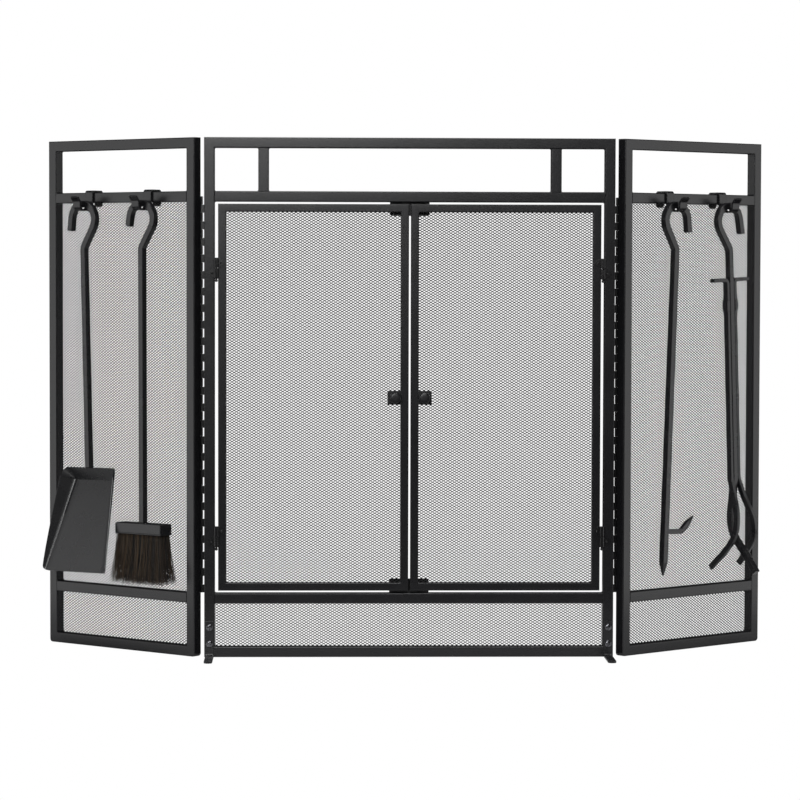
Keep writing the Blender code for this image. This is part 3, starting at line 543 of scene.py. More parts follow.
for side, space in (("left", "centre_left"), ("right", "centre")):
    node = side + "_knob"
    low, high = corners(node, space)
    base = corners(side + "_door_frame", space)[0][1] + 0.001
    backing = plate((low[0], base, low[2]), (high[0], base + 0.003, high[2]), 0.0005, 0.0009)
    profile = [(0.0060, -0.0004), (0.0058, 0.0006), (0.0048, 0.0014), (0.0038, 0.0026), (0.0034, 0.0045),
               (0.0038, 0.0062), (0.0052, 0.0078), (0.0074, 0.0092), (0.0083, 0.0099), (0.0087, 0.0108),
               (0.0088, 0.0120), (0.0087, 0.0132), (0.0084, 0.0142), (0.0078, 0.0151), (0.0070, 0.0157),
               (0.0058, 0.0160), (0.0020, 0.0160), (0.0004, 0.0160)]
    turning = turned(profile, (KNOB_OUT, base, KNOB_HIGH), (0, -1, 0), 48)
    piece(node + "_turned", [backing, turning], knob_coat, side + "_door", [node], space,
          smooth=50.0)

# ---- Door hinges --------------------------------------------------------------------------------
# Lift-off hinges: the lower knuckle has the pin and a small ball end and is riveted to the stile;
# the upper one drops over the pin and is riveted to the door. Their leaves taper to a point.
DOOR_BARREL = 0.00375
LEAF_SHEET = 0.0015


def pointed_leaf(direction, x, reach, low, high, face):
    """Leaf with a pointed end. Its stations run from the barrel to the tip, where the half height
    falls in an S curve to a narrow nose."""
    share = np.linspace(0, 1, 15)
    fall = np.clip((share - 0.30) / 0.62, 0, 1)
    half = (high - low) / 2 * (1 - 0.80 * fall ** 1.25)
    half = half * np.sqrt(np.clip(1 - ((share - 0.90) / 0.11).clip(0, 1) ** 2, 0.05, 1))
    outline = rounded_outline(half, np.full_like(half, LEAF_SHEET / 2), 0.0003, 3)
    rings = np.empty((*outline.shape[:2], 3))
    rings[..., 0] = x + direction * (0.0008 + (reach - 0.0008) * share)[:, None]
    rings[..., 1] = face + LEAF_SHEET / 2 + outline[..., 1]
    rings[..., 2] = (low + high) / 2 + outline[..., 0]
    return loft(rings)


for side, space in (("left", "centre_left"), ("right", "centre")):
    for level in ("lower", "upper"):
        node = "%s_frame_%s_leaf" % (side, level)
        low, high = corners(node, space)
        door_low, door_high = corners("%s_door_%s_leaf" % (side, level), space)
        x, y = low[0] + DOOR_BARREL, low[1] + DOOR_BARREL
        split, tall = door_low[2], door_high[2] - door_low[2]
        face = y + DOOR_BARREL - LEAF_SHEET
        foot = split - HINGE_CLEARANCE - tall
        middle = foot + tall / 2
        ball = [(0.0004, -0.0056), (0.0013, -0.0053), (0.0021, -0.0045), (0.0024, -0.0034),
                (0.0021, -0.0023), (0.0015, -0.0014), (0.0017, -0.0008), (0.0031, -0.0004),
                (DOOR_BARREL, 0.0003), (DOOR_BARREL, tall - 0.0003), (DOOR_BARREL - 0.0003, tall)]
        rod = [(0.0017, tall - 0.001), (0.0017, 2 * tall - 0.0020), (0.0010, 2 * tall - 0.0013)]
        solids = [turned(ball, (x, y, foot), (0, 0, 1), 32), turned(rod, (x, y, foot), (0, 0, 1), 20),
                  pointed_leaf(1, x, 0.0133, foot + 0.0002, foot + tall - 0.0002, face)]
        solids += dabs([(x + 0.0072, face, middle)], (0, -1, 0), 0.0019, 0.0010)
        piece(node + "_riveted", solids, hinge_paint, "centre_panel", [node], space)

        node = "%s_door_%s_leaf" % (side, level)
        shell = [(0.0004, tall - 0.0006), (0.0021, tall - 0.0006), (0.0021, 0),
                 (DOOR_BARREL - 0.0003, 0), (DOOR_BARREL, 0.0003), (DOOR_BARREL, tall - 0.0007),
                 (DOOR_BARREL - 0.0002, tall - 0.0002), (DOOR_BARREL - 0.0007, tall), (0.0004, tall)]
        solids = [turned(shell, (x, y, split), (0, 0, 1), 32),
                  pointed_leaf(-1, x, 0.0133, split + 0.0002, split + tall - 0.0002, face)]
        solids += dabs([(x - 0.0072, face, split + tall / 2)], (0, -1, 0), 0.0019, 0.0010)
        piece(node + "_riveted", solids, hinge_paint, side + "_door", [node], space)

# ---- Feet ---------------------------------------------------------------------------------------
# Each foot is a flat bar, bent once: it runs up the front of a stile and forward along the floor, and
# its tongue has a round end.
FOOT_SHEET = 0.003
FOOT_BEND = 0.0042


def arc(centre, radius, start, stop, steps=8):
    """Points around a centre in the plane of y and z, from one angle to another in degrees."""
    angle = np.radians(np.linspace(start, stop, steps + 1))
    return np.stack([np.full_like(angle, centre[0]), centre[1] + radius * np.cos(angle),
                     centre[2] + radius * np.sin(angle)], -1)


def carry(path, half_a, half_b, corner, reference, ease=0.0006):
    """Bar carried along a path. Its width lies across the path and the reference, its depth along the
    reference. The first and last ring ease over the ends in a quarter turn: the station moves by
    ease times (1 - cosine) and the outline shrinks by ease times (1 - sine)."""
    path = np.asarray(path, float)
    count = len(path)
    half_a, half_b = (np.broadcast_to(np.asarray(half, float), count) for half in (half_a, half_b))
    step = np.diff(path, axis=0)
    step /= np.linalg.norm(step, axis=1)[:, None]
    turn = np.radians([0, 30, 60])
    inset = ease * (1 - np.sin(turn))
    shift = ease * (1 - np.cos(turn))
    start = path[0] + shift[:, None] * step[0]
    stop = path[-1] - shift[::-1, None] * step[-1]
    ends = path[[0]] + ease * step[0], path[[-1]] - ease * step[-1]
    spine = np.concatenate([start, ends[0], path[1:-1], ends[1], stop])
    shrink = np.concatenate([inset, np.zeros(count), inset[::-1]])
    take = np.concatenate([[0, 0, 0], np.arange(count), [count - 1] * 3])
    tangent = np.concatenate([step[:1], step[:-1] + step[1:], step[-1:]])
    tangent /= np.linalg.norm(tangent, axis=1)[:, None]
    stretch = 1 / np.maximum(0.6, np.sum(tangent * np.concatenate([step[:1], step]), 1))
    tangent, stretch = tangent[take], stretch[take][:, None, None]
    across = np.cross(tangent, reference)
    across /= np.linalg.norm(across, axis=1)[:, None]
    depth = np.cross(across, tangent)
    outline = rounded_outline(half_a[take] - shrink, half_b[take] - shrink, corner, 3)
    return loft(spine[:, None] + across[:, None] * outline[..., :1] * stretch
                + depth[:, None] * outline[..., 1:])


for side, space in (("left", "centre_left"), ("right", "centre")):
    node = "foot_" + side
    low, high = corners(node, space)
    x, half = (low[0] + high[0]) / 2, (high[0] - low[0]) / 2
    y, z = high[1] - FOOT_SHEET / 2, FOOT_SHEET / 2
    upright = np.linspace([x, y, high[2]], [x, y, z + FOOT_BEND + 0.002], 8)
    bend = arc((x, y - FOOT_BEND, z + FOOT_BEND), FOOT_BEND, 0, -90)
    tongue = np.linspace([x, y - FOOT_BEND - 0.002, z], [x, low[1] + half, z], 12)
    nose_turn = np.radians(np.linspace(0, 86, 16)[1:])
    nose = np.stack([np.full(15, x), low[1] + half * (1 - np.sin(nose_turn)), np.full(15, z)], -1)
    path = np.concatenate([upright, bend, tongue, nose])
    width = np.concatenate([np.full(len(path) - 15, half), half * np.cos(nose_turn)])
    bar = carry(path, np.full(len(path), FOOT_SHEET / 2), width, 0.0005, (1, 0, 0), 0.0004)
    piece(node + "_bent", [bar], powder_coat, "centre_panel", [node], space)

# ---- Foot screws --------------------------------------------------------------------------------
# Two pan-head screws with a cross recess fasten each foot to its stile.
SCREW_HEAD = 0.0053
SCREW_RISE = 0.0031

# Blackened screw steel: metal, darkened by an oxide bath and oiled, so it keeps sharp highlights.
black_oxide = coating("Blackened_screw_steel", "#6A6A6E", "#7A7A7E", 0.18, 0.006, 0.0008, 0.000003)
black_oxide.node_tree.nodes["Principled BSDF"].inputs["Metallic"].default_value = 1.0


def screw_head(x, face, z):
    """Pan head on a grid of radius and angle: flat-topped dome, its rise falling as the root of
    1 - share^5 above a short cylinder, minus a recess 1.5 mm deep where a point lies on either arm
    of the cross."""
    share = np.concatenate([np.linspace(0.03, 0.62, 26), np.linspace(0.66, 1.0, 12)])[:, None]
    angle = np.linspace(0, 2 * np.pi, 72, endpoint=False)
    across, along = share * np.cos(angle), share * np.sin(angle)
    rise = 0.0007 + ((SCREW_RISE - 0.0007) * np.sqrt(1 - (0.995 * share) ** 5)
                     * (1 - 0.10 * share ** 2))
    arm = np.minimum(np.maximum(np.abs(across) / 0.135, np.abs(along) / 0.56),
                     np.maximum(np.abs(along) / 0.135, np.abs(across) / 0.56))
    rise = rise - 0.0015 * np.clip((1.12 - arm) / 0.3, 0, 1)
    head = np.stack([x + SCREW_HEAD * across, face - rise, z + SCREW_HEAD * along], -1)
    rim = np.broadcast_to(head[-1:], (1, 72, 3)).copy()
    rim[..., 1] = face
    return loft(np.concatenate([head, rim]))


for side, space in (("left", "centre_left"), ("right", "centre")):
    for level in ("lower", "upper"):
        node = "foot_screw_%s_%s" % (side, level)
        low, high = corners(node, space)
        face = corners("foot_" + side, space)[1][1] - FOOT_SHEET
        middle = (low + high) / 2
        shank = turned([(0.0020, 0.0), (0.0020, 0.0032)], (middle[0], face, middle[2]), (0, 1, 0), 16)
        piece(node + "_pan_head", [screw_head(middle[0], face, middle[2]), shank], black_oxide,
              "centre_panel", [node], space, smooth=50.0)

# ---- Hooks --------------------------------------------------------------------------------------
# Each hook is a bent strap of 15 by 3 mm steel. It saddles the hanging rail of a side panel, comes
# forward under it and turns up into a flared lip, on which the tool's crook hangs.
STRAP_SHEET = 0.003
STRAP_HALF = 0.0077
ARM_REACH = 0.0277
LIP_RISE = 0.0127

# Black coat on the hooks and tools: baked enamel, a shade smoother and darker than the frame's.
tool_enamel = coating("Enamelled_tool_steel", "#18181A", "#1E1E20", 0.27, 0.030, 0.0014, 0.000005,
                      0.03)


def fillet(points, radius, steps=8):
    """Polyline with each corner turned into an arc: the arc starts radius times the tangent of half
    the turn before the corner, and its points swing about the arc's centre by equal angles."""
    points = np.asarray(points, float)
    path = [points[:1]]
    for before, corner, after in zip(points, points[1:], points[2:]):
        into = (corner - before) / np.linalg.norm(corner - before)
        away = (after - corner) / np.linalg.norm(after - corner)
        turn = math.acos(np.clip(np.dot(into, away), -1, 1))
        if turn < 0.05:
            path.append(corner[None])
            continue
        middle = (away - into) / np.linalg.norm(away - into)
        centre = corner + middle * radius / math.cos(turn / 2)
        first = corner - into * radius * math.tan(turn / 2) - centre
        angle = np.linspace(0, turn, steps + 1)[:, None]
        path.append(centre + first * np.cos(angle) + into * radius * np.sin(angle))
    path.append(points[-1:])
    return np.concatenate(path)


HOOKS = {"shovel": "left", "brush": "left", "poker": "right", "tongs": "right"}
for tool, side in HOOKS.items():
    node = tool + "_hook"
    low, high = corners(node, side)
    rail_low, rail_high = corners(side + "_panel_hanging_rail", side)
    x = (low + high)[0] / 2
    sheet = STRAP_SHEET / 2
    rear, front = high[1] - sheet, rail_low[1] - 0.0018
    over, under = rail_high[2] + 0.0003 + sheet, rail_low[2] - 0.0110
    lowest = rail_low[2] - 0.006
    saddle = [(x, rear, lowest), (x, rear, over), (x, front, over)]
    arm = [(x, front, under), (x, front - ARM_REACH, under), (x, front - ARM_REACH, under + LIP_RISE),
           (x, front - ARM_REACH - 0.0060, under + LIP_RISE + 0.0075)]
    upper = fillet(saddle + arm[:1], 0.0024)[:-1]
    lower = fillet(saddle[-1:] + arm, 0.0075, 12)[1:]
    tab = np.stack([np.full(8, x), np.full(8, rear), lowest + 0.004 * (1 - np.cos(
        np.linspace(0, np.pi / 2, 8)))], -1)
    path = np.concatenate([tab, upper[1:], lower])
    width = np.full(len(path), STRAP_HALF)
    width[:8] = STRAP_HALF - 0.004 * (1 - np.sin(np.linspace(0.06, np.pi / 2, 8)))
    bar = carry(path, np.full(len(path), sheet), width, 0.0006, (1, 0, 0), 0.0005)
    piece(node + "_bent", [bar], tool_enamel, side + "_panel", [node], side)

# ---- Tool handles -------------------------------------------------------------------------------
# Every tool is made from 9.8 mm square bar. Its top is bent hot round a former into a crook: an open
# arch with its end splayed out, a straight run inward and a quick bend down into the shaft.
BAR_HALF = 0.0049
BAR_CORNER = 0.0011
CROOK_RADIUS = 0.0240
CROOK_HIGH = 0.6626
CROOK_FORWARD = 0.016
CROOK_SPLAY = math.radians(8)
CROOK_TURN = math.radians(33.5)
CROOK_TAILS = {"shovel": 0.0205, "brush": 0.0145, "poker": 0.0203, "tongs": 0.0238}
NECK_RADIUS = 0.009
NEAR_EDGE = -0.0015             # a side panel's near edge and front face, seen from its hinge pin
FRONT_FACE = -0.0185


def hang(tool, side, out, lean, tip_back=0.0):
    """Space of a tool: its origin is the middle of the crook's arch, z runs up along the shaft. The
    foot swings outward by lean and towards the panel by tip_back."""
    matrix, origin = spaces[side]
    place = np.array([NEAR_EDGE + out, FRONT_FACE - CROOK_FORWARD, CROOK_HIGH])
    turn = turn_about("y", -math.radians(lean)) @ turn_about("x", math.radians(tip_back))
    spaces[tool] = (matrix @ turn, origin + matrix @ place)


hang("shovel", "left", 0.2132, -1.2, 0.4)
hang("brush", "left", 0.0912, -0.2)
hang("poker", "right", 0.0945, -2.6)
hang("tongs", "right", 0.2113, 2.4)


def crook(tool, shaft_end):
    """Middle line from the free end, over the arch by cosine and sine, then along the arch's tangent
    to the shaft's line, where a fillet turns it down."""
    r = CROOK_RADIUS
    splay, turn = CROOK_SPLAY, CROOK_TURN
    first = r * np.array([math.cos(splay), 0, math.sin(splay)])
    tail = np.linspace(CROOK_TAILS[tool], 0.002, 6)[:, None]
    tail = first + tail * (math.sin(splay), 0, -math.cos(splay))
    angle = np.linspace(splay, math.pi + turn, 40)
    arch = np.stack([r * np.cos(angle), 0 * angle, r * np.sin(angle)], -1)
    corner = -r / math.sin(turn)
    neck = fillet([arch[-1], (0, 0, corner), (0, 0, shaft_end)], NECK_RADIUS, 12)[1:-1]
    shaft = np.linspace(neck[-1] - (0, 0, 0.004), (0, 0, shaft_end), 24)
    return np.concatenate([tail, arch, neck, shaft])


def below(height):
    """A height above the floor, seen from the middle of the crook."""
    return height - CROOK_HIGH


# ---- Shovel -------------------------------------------------------------------------------------
# The shovel's pan is folded from 1.5 mm sheet: a floor that widens to the lip, two walls that slope
# outward and run out towards the lip, and a back with folded corners, welded to the shaft.
PAN_TILT = math.radians(19.2)
PAN_LENGTH = 0.147
PAN_SHEET = 0.0015
PAN_FLARE = math.tan(math.radians(38))
SHOVEL_SHAFT_END = 0.2797


def pan_point(down, across, up):
    """Pan measures (down its length, across, up from its floor) turned by the tilt."""
    c, s = math.cos(PAN_TILT), math.sin(PAN_TILT)
    return np.stack(np.broadcast_arrays(across, 0.0125 - down * s - up * c,
                                        below(0.259) - down * c + up * s), -1)


def sheet_of(middle, thickness):
    """Sheet with rounded rims around a grid of points: each point moves by half the thickness along
    the surface's normal, the cross product of the grid's two directions, to either side."""
    across = np.gradient(middle, axis=1)
    normal = np.cross(np.gradient(middle, axis=0), across)
    normal /= np.linalg.norm(normal, axis=-1)[..., None]
    half = thickness / 2
    rim = [across[:, [end]] / np.linalg.norm(across[:, [end]], axis=-1)[..., None] * half * sign
           for end, sign in ((0, -0.45), (-1, 0.45))]
    over, under = middle + normal * half, middle - normal * half
    return loft(np.concatenate([middle[:, :1] + rim[0] + normal[:, :1] * half * 0.5, over,
                                middle[:, -1:] + rim[1] + normal[:, -1:] * half * 0.5,
                                middle[:, -1:] + rim[1] - normal[:, -1:] * half * 0.5, under[:, ::-1],
                                middle[:, :1] + rim[0] - normal[:, :1] * half * 0.5], axis=1))


lip = 1 - 0.035 * (1 - np.linspace(0, 1, 9)[1:]) ** 1.5
t = np.concatenate([np.linspace(0, 0.965, 40), lip])[:, None]
half = 0.040 + 0.022 * t
rise = 0.0157 * (1 - t).clip(0) ** 0.8 + 0.0048
floor_part = np.linspace(-1, 1, 25)
wall_part = np.linspace(1, 0, 9)[:-1]
wall_x = half + PAN_FLARE * rise * wall_part
wall_h = rise * wall_part
across = np.concatenate([-wall_x, half * floor_part, wall_x[:, ::-1]], 1)
crease = 0.0009 * np.exp(-((np.abs(across) - half) / 0.0014) ** 2)
up = np.concatenate([wall_h, 0 * half * floor_part, wall_h[:, ::-1]], 1) + crease
round_off = 0.003 * (np.abs(across) / (half + PAN_FLARE * rise)).clip(0, 1) ** 30 * (t > 0.97)
body = sheet_of(pan_point(PAN_LENGTH * t - round_off, across, up), PAN_SHEET)

v = np.linspace(0, 1, 14)[:, None]
foot_x = np.array([-0.0400, -0.0399, -0.0398])
bottom = np.concatenate([foot_x, np.linspace(-0.039, 0.039, 15), -foot_x[::-1]])
top_x = np.concatenate([[-0.0560, -0.0552, -0.0520], np.linspace(-0.050, 0.050, 15),
                        [0.0520, 0.0552, 0.0560]])
top_s = -0.015 * np.concatenate([[0, 0.55, 0.90], np.ones(15), [0.90, 0.55, 0]])
top_h = 0.0163 + 0.0042 * np.concatenate([[1, 0.55, 0.10], np.zeros(15), [0.10, 0.55, 1]])
rear = pan_point(top_s * v - 0.0003, bottom * (1 - v) + top_x * v, top_h * v)
back = sheet_of(rear, PAN_SHEET)
weld_places = ((0.0035, 0.0), (-0.0035, 0.0), (0, 0.0035))
weld = dabs([(x, y, below(SHOVEL_SHAFT_END) + 0.0006) for x, y in weld_places], (0, 0, -1),
            0.0042, 0.0022)
piece("shovel_pan_folded", [body, back], tool_enamel, "shovel", ["shovel_pan"], "shovel",
      smooth=30.0)
shaft = carry(crook("shovel", below(SHOVEL_SHAFT_END)), BAR_HALF, BAR_HALF, BAR_CORNER, (0, 1, 0))
piece("shovel_handle_bar", [shaft] + weld, tool_enamel, "shovel", ["shovel_handle"],
      "shovel")

# ---- Brush --------------------------------------------------------------------------------------
# The brush's ferrule is a folded steel box with a small lip around its mouth, welded to the shaft.
FERRULE_HALF = (0.0475, 0.0135)
FERRULE_LOW, FERRULE_HIGH = 0.1830, 0.1995

heights = np.array([FERRULE_LOW, FERRULE_LOW, FERRULE_LOW + 0.0005, FERRULE_LOW + 0.0016,
                    FERRULE_LOW + 0.0022, FERRULE_HIGH - 0.0012, FERRULE_HIGH - 0.0004, FERRULE_HIGH])
inset = np.array([0.0012, 0.0003, 0.0, 0.0, 0.0006, 0.0006, 0.0009, 0.0018])
outline = rounded_outline(FERRULE_HALF[0] - inset, FERRULE_HALF[1] - inset, 0.0014, 4)
ferrule = loft(np.concatenate([outline, np.broadcast_to(below(heights)[:, None, None],
                                                        (*outline.shape[:2], 1))], -1))
shaft = carry(crook("brush", below(FERRULE_HIGH - 0.0015)), BAR_HALF, BAR_HALF, BAR_CORNER, (0, 1, 0))
seam = dabs([(0.0045, 0, below(FERRULE_HIGH)), (-0.0045, 0, below(FERRULE_HIGH)),
             (0, -0.0045, below(FERRULE_HIGH)), (0, 0.0045, below(FERRULE_HIGH))], (0, 0, 1),
            0.0032, 0.0016)
piece("brush_handle_bar", [shaft, ferrule] + seam, tool_enamel, "brush", ["brush_handle"],
      "brush")

# ---- Bristles -----------------------------------------------------------------------------------
# Stiff natural fibre, set in tufts in the ferrule. It spreads towards its tips, hangs in wavy locks
# and is cut by hand, so its end is ragged.
BRISTLE_ROWS = 9
BRISTLE_END = 0.1085
BRISTLE_RADIUS = 0.00045
rng = np.random.default_rng(7)


def bristle_fibre():
    """Dark plant fibre: brown-black, each fibre's own shade read from the shade attribute, slightly
    glossy along its length."""
    material = bpy.data.materials.new("Dark_palm_fibre")
    material.use_nodes = True
    tree = material.node_tree
    shader = tree.nodes["Principled BSDF"]
    shade = add_node(tree, "ShaderNodeAttribute", attribute_name="shade")
    colours = add_node(tree, "ShaderNodeMix", {"Factor": shade.outputs["Fac"], 6: linear("#15110F"),
                                               7: linear("#54432F")}, data_type="RGBA")
    tree.links.new(colours.outputs["Result"], shader.inputs["Base Color"])
    shader.inputs["Roughness"].default_value = 0.55
    return material


def fibres():
    """Fibres from a jittered grid of roots. Each runs down, spreads outward with the square of its
    share, and sways by sines whose phase it shares with its lock's neighbours; three-sided rings
    shrink towards the tip."""
    columns = 44
    u, v = np.meshgrid(np.linspace(-1, 1, columns), np.linspace(-1, 1, 3 * BRISTLE_ROWS))
    u = (u + rng.normal(0, 0.018, u.shape)).ravel()
    v = (v + rng.normal(0, 0.05, v.shape)).ravel()
    count = len(u)
    share = np.linspace(0, 1, 8)
    lock = np.sin(5.1 * u + 1.7 * v) * 2 + np.sin(11.3 * u - 4.0 * v) * 1.5
    reach = (BRISTLE_END + rng.normal(0, 0.0022, count) + 0.002 * np.sin(lock * 2)
             - 0.0015 * (1 - u ** 2))
    stray = rng.random(count) < 0.03
    spread = np.where(stray, 1.5, 1.0)[:, None] * share ** 1.5
    lean = rng.normal(0, 0.0016, (2, count, 1)) * share ** 1.5
    sway = 0.0017 * share * np.sin(9 * share + lock[:, None] * 2)
    x = 0.0445 * u[:, None] + 0.0072 * np.sign(u[:, None]) * np.abs(u[:, None]) ** 1.4 * spread \
        + lean[0] + sway
    y = 0.0112 * v[:, None] + 0.0090 * v[:, None] * spread + lean[1] + 0.6 * sway
    z = below(FERRULE_LOW + 0.002) + (reach - FERRULE_LOW)[:, None] * share
    angle = np.radians([90, 210, 330]) + rng.uniform(0, 2, (count, 1))
    thick = BRISTLE_RADIUS * np.array([1, 1, 1, 0.95, 0.9, 0.8, 0.65, 0.35])[:, None]
    ring_x = x[..., None] + thick * np.cos(angle)[:, None]
    ring_y = y[..., None] + thick * np.sin(angle)[:, None]
    ring_z = np.broadcast_to(z[..., None], ring_x.shape)
    shade = np.clip(0.30 + 0.35 * np.sin(lock * 1.5) + rng.normal(0, 0.25, count), 0, 1)
    return loft(np.stack([ring_x, ring_y, ring_z], -1)), np.repeat(shade, 8 * 3)


strands, shades = fibres()
bundle = piece("brush_bristle_fibres", [strands], bristle_fibre(), "brush",
               ["brush_bristles"], "brush", smooth=0)
bundle.data.attributes.new("shade", "FLOAT", "POINT").data.foreach_set(
    "value", shades.astype(np.float32))

# ---- Poker --------------------------------------------------------------------------------------
# The poker is forged in one piece: its end is drawn to a four-sided point, and a barb of thinner bar
# is welded on beside it and turned up.
POKER_END = 0.140
POKER_TIP = 0.1190
BARB_HIGH = 0.187

path = crook("poker", below(POKER_END))
taper = np.linspace([0, 0, below(POKER_END - 0.002)], [0, 0, below(POKER_TIP)], 8)
path = np.concatenate([path, taper])
half = np.full(len(path), BAR_HALF)
half[-8:] = np.linspace(BAR_HALF * 0.92, 0.0010, 8)
half[-9] = BAR_HALF
shaft = carry(path, half, half, np.minimum(BAR_CORNER, 0.6 * half.min()), (0, 1, 0), 0.0003)
root = below(BARB_HIGH)
barb = fillet([(0.001, 0, root), (0.036, 0, root), (0.061, 0, root + 0.023)], 0.012, 12)
half = np.full(len(barb), 0.00375)
barb = np.concatenate([barb[:-1], np.linspace(barb[-2], barb[-1], 10)[1:]])
half = np.concatenate([half[:-1], np.interp(np.linspace(0, 1, 10)[1:], [0, 0.45, 1],
                                            [0.00375, 0.00375, 0.0014])])
barb = carry(barb, half, half, 0.0006, (0, 1, 0), 0.0004)
seam = dabs([(BAR_HALF, -0.002, root + 0.0035), (BAR_HALF, -0.002, root - 0.0035)], (1, 0, 0),
            0.0026, 0.0014)
piece("poker_forged", [shaft, barb] + seam, tool_enamel, "poker", ["poker"], "poker")

# ---- Tongs --------------------------------------------------------------------------------------
# A fork with two arms swings on a bolt through the long handle. Its tabs above the bolt are squeezed
# by the fingers; below, the arms and the handle end in bent claws with square-cut tips.
PIVOT_HIGH = 0.532
TAB_HIGH = 0.572
CLAW_HIGH = 0.290
ARM_OUT = 0.0081


def curve(points, steps=8):
    """Smooth curve through the points (Catmull-Rom): on each stretch, half of the sum of twice the
    point, the chord of its neighbours times t, and the quadratic and cubic terms."""
    points = np.asarray(points, float)
    p = np.concatenate([2 * points[:1] - points[1:2], points, 2 * points[-1:] - points[-2:-1]])
    a, b, c, d = (p[k:len(p) - 3 + k, None] for k in range(4))
    t = np.linspace(0, 1, steps, endpoint=False)[:, None]
    path = 0.5 * (2 * b + (c - a) * t + (2 * a - 5 * b + 4 * c - d) * t ** 2
                  + (3 * b - a - 3 * c + d) * t ** 3)
    return np.concatenate([path.reshape(-1, 3), points[-1:]])


claw = np.array([(0, 0, 0.262), (0, 0.004, 0.232), (0, 0.0085, 0.200), (0, 0.003, 0.174),
                 (0, -0.016, 0.150), (0, -0.029, 0.135), (0, -0.042, 0.1165)])
claw[:, 2] = below(claw[:, 2])
handle = np.concatenate([crook("tongs", below(CLAW_HIGH)), curve(claw)])
bar = carry(handle, BAR_HALF, BAR_HALF, BAR_CORNER, (0, 1, 0), 0.0004)
piece("tongs_handle_bar", [bar], tool_enamel, "tongs", ["tongs_handle"], "tongs")

solids = []
for hand in (-1, 1):
    top = fillet([(0.040, 0, TAB_HIGH), (ARM_OUT, 0, TAB_HIGH), (ARM_OUT, 0, CLAW_HIGH)], 0.006)
    claw = curve([(ARM_OUT, 0, 0.262), (0.0110, -0.010, 0.232), (0.0165, -0.0195, 0.207),
                  (0.0205, -0.0215, 0.186), (0.0245, -0.0150, 0.166), (0.0275, -0.0010, 0.148),
                  (0.0300, 0.0110, 0.136), (0.0325, 0.0235, 0.1235)])
    arm = np.concatenate([top, claw]) * (hand, 1, 1) - (0, 0, CROOK_HIGH)
    solids.append(carry(arm, 0.0029, 0.0045, 0.0008, (0, 1, 0), 0.0004))
    inner, outer = sorted((hand * 0.0056, hand * 0.0130))
    solids.append(plate((inner, -0.0055, below(PIVOT_HIGH) - 0.009),
                        (outer, 0.0055, below(PIVOT_HIGH) + 0.009), 0.0010, 0.0012))
bolt = [(0.0016, -0.0140), (0.0023, -0.0134), (0.0023, 0.0134), (0.0016, 0.0140)]
solids.append(turned(bolt, (0, 0, below(PIVOT_HIGH)), (1, 0, 0), 20))
piece("tongs_fork_forged", solids, tool_enamel, "tongs_fork", ["tongs_fork"], "tongs")

# ---- Studio -------------------------------------------------------------------------------------
# A pale floor, a plain pale surround, one large soft light high at the front left, one overhead, one
# at each side and two weak ones behind.
FLOOR_SIDE, FLOOR_FRONT, FLOOR_BACK = 1.0, -0.45, 1.0


def floor_paint():
    """Matt pale floor that glows white to the eye and lights the object as pale paint does."""
    material = bpy.data.materials.new("Matt_pale_floor")
    material.use_nodes = True
    tree = material.node_tree
    tree.nodes.clear()
    matt = add_node(tree, "ShaderNodeBsdfDiffuse", {"Color": linear("#E4E4E4")})
    bright = add_node(tree, "ShaderNodeEmission", {"Color": (1, 1, 1, 1), "Strength": 1.0})
    seen = add_node(tree, "ShaderNodeLightPath").outputs["Is Camera Ray"]
    both = add_node(tree, "ShaderNodeMixShader", {0: seen, 1: matt.outputs[0], 2: bright.outputs[0]})
    add_node(tree, "ShaderNodeOutputMaterial", {"Surface": both.outputs[0]})
    return material


grid = np.array([(-FLOOR_SIDE, FLOOR_FRONT, 0), (FLOOR_SIDE, FLOOR_FRONT, 0),
                 (FLOOR_SIDE, FLOOR_BACK, 0), (-FLOOR_SIDE, FLOOR_BACK, 0)])
ground = bpy.data.meshes.new("studio_floor")
ground.from_pydata(grid.tolist(), [], [(0, 1, 2, 3)])
ground.materials.append(floor_paint())
ground = bpy.data.objects.new("studio_floor", ground)
bpy.context.scene.collection.objects.link(ground)

world = bpy.data.worlds.new("Studio_surround")
bpy.context.scene.world = world
world.use_nodes = True
tree = world.node_tree
tree.nodes.clear()
seen = add_node(tree, "ShaderNodeBackground", {"Color": (1, 1, 1, 1), "Strength": 1.0})
place = add_node(tree, "ShaderNodeTexCoord").outputs["Generated"]
height = add_node(tree, "ShaderNodeSeparateXYZ", {0: place}).outputs["Z"]
level = add_node(tree, "ShaderNodeMapRange", {"Value": height, "From Min": -0.1, "From Max": 0.9,
                                              "To Min": 0.005, "To Max": 0.10})
dim = add_node(tree, "ShaderNodeBackground", {"Color": (1, 1, 1, 1),
                                              "Strength": level.outputs["Result"]})
path = add_node(tree, "ShaderNodeLightPath").outputs["Is Camera Ray"]
both = add_node(tree, "ShaderNodeMixShader", {0: path, 1: dim.outputs[0], 2: seen.outputs[0]})
add_node(tree, "ShaderNodeOutputWorld", {"Surface": both.outputs[0]})


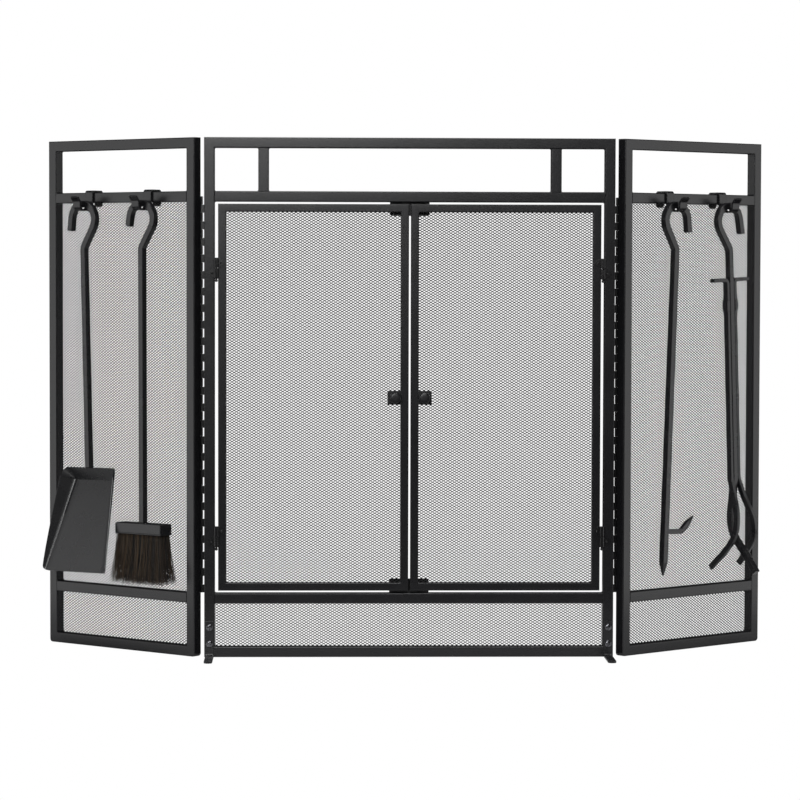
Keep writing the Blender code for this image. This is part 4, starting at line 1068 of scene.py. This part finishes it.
def soft_light(name, place, target, width, height, watts):
    """Rectangular soft box: its own -z axis points from its place to the target."""
    lamp = bpy.data.lights.new(name, "AREA")
    lamp.shape = "RECTANGLE"
    lamp.size, lamp.size_y, lamp.energy = width, height, watts
    made = bpy.data.objects.new(name, lamp)
    away = np.asarray(place, float) - np.asarray(target, float)
    away /= np.linalg.norm(away)
    side = np.cross((0, 0, 1), away)
    side /= np.linalg.norm(side)
    frame_axes = np.eye(4)
    frame_axes[:3, :3] = np.stack([side, np.cross(away, side), away], 1)
    frame_axes[:3, 3] = place
    made.matrix_world = Matrix(frame_axes.tolist())
    made.visible_camera = False
    bpy.context.scene.collection.objects.link(made)


MIDDLE = (0.0, 0.1, 0.4)
soft_light("key_front_left", (-0.95, -4.9, 1.98), (0, 0, 0.7), 2.4, 1.5, 105)
soft_light("side_left", (-4.2, -0.6, 0.1), MIDDLE, 2.6, 3.8, 42)
soft_light("side_right", (4.2, -0.6, 0.1), MIDDLE, 2.6, 3.8, 42)
soft_light("overhead", (0, -0.4, 3.2), (0, 0.1, 0.4), 2.0, 1.2, 48)
soft_light("behind_left", (-3.0, 3.6, 2.4), MIDDLE, 2.2, 1.6, 40)
soft_light("behind_right", (3.0, 3.6, 2.0), MIDDLE, 2.2, 1.6, 30)

# ---- Camera -------------------------------------------------------------------------------------
# Long lens, almost square on to the centre panel, a little above its middle.
CAMERA_PLACE = (-0.1459, -4.6024, 0.5950)
YAW, PITCH, ROLL = (math.radians(angle) for angle in (1.637, -2.553, 0.145))
camera = bpy.data.cameras.new("camera")
camera.lens = 137.1
camera.sensor_width = 36.0
forward = np.array([math.sin(YAW) * math.cos(PITCH), math.cos(YAW) * math.cos(PITCH), math.sin(PITCH)])
level_right = np.array([math.cos(YAW), -math.sin(YAW), 0])
level_up = np.cross(level_right, forward)
right = math.cos(ROLL) * level_right + math.sin(ROLL) * level_up
up = math.cos(ROLL) * level_up - math.sin(ROLL) * level_right
stand = np.eye(4)
stand[:3, :3] = np.stack([right, up, -forward], 1)
stand[:3, 3] = CAMERA_PLACE
viewer = bpy.data.objects.new("camera", camera)
viewer.matrix_world = Matrix(stand.tolist())
bpy.context.scene.collection.objects.link(viewer)
bpy.context.scene.camera = viewer
bpy.context.scene.view_settings.view_transform = "Standard"

# ---- Update -------------------------------------------------------------------------------------
# The view layer is brought up to date.
bpy.context.view_layer.update()
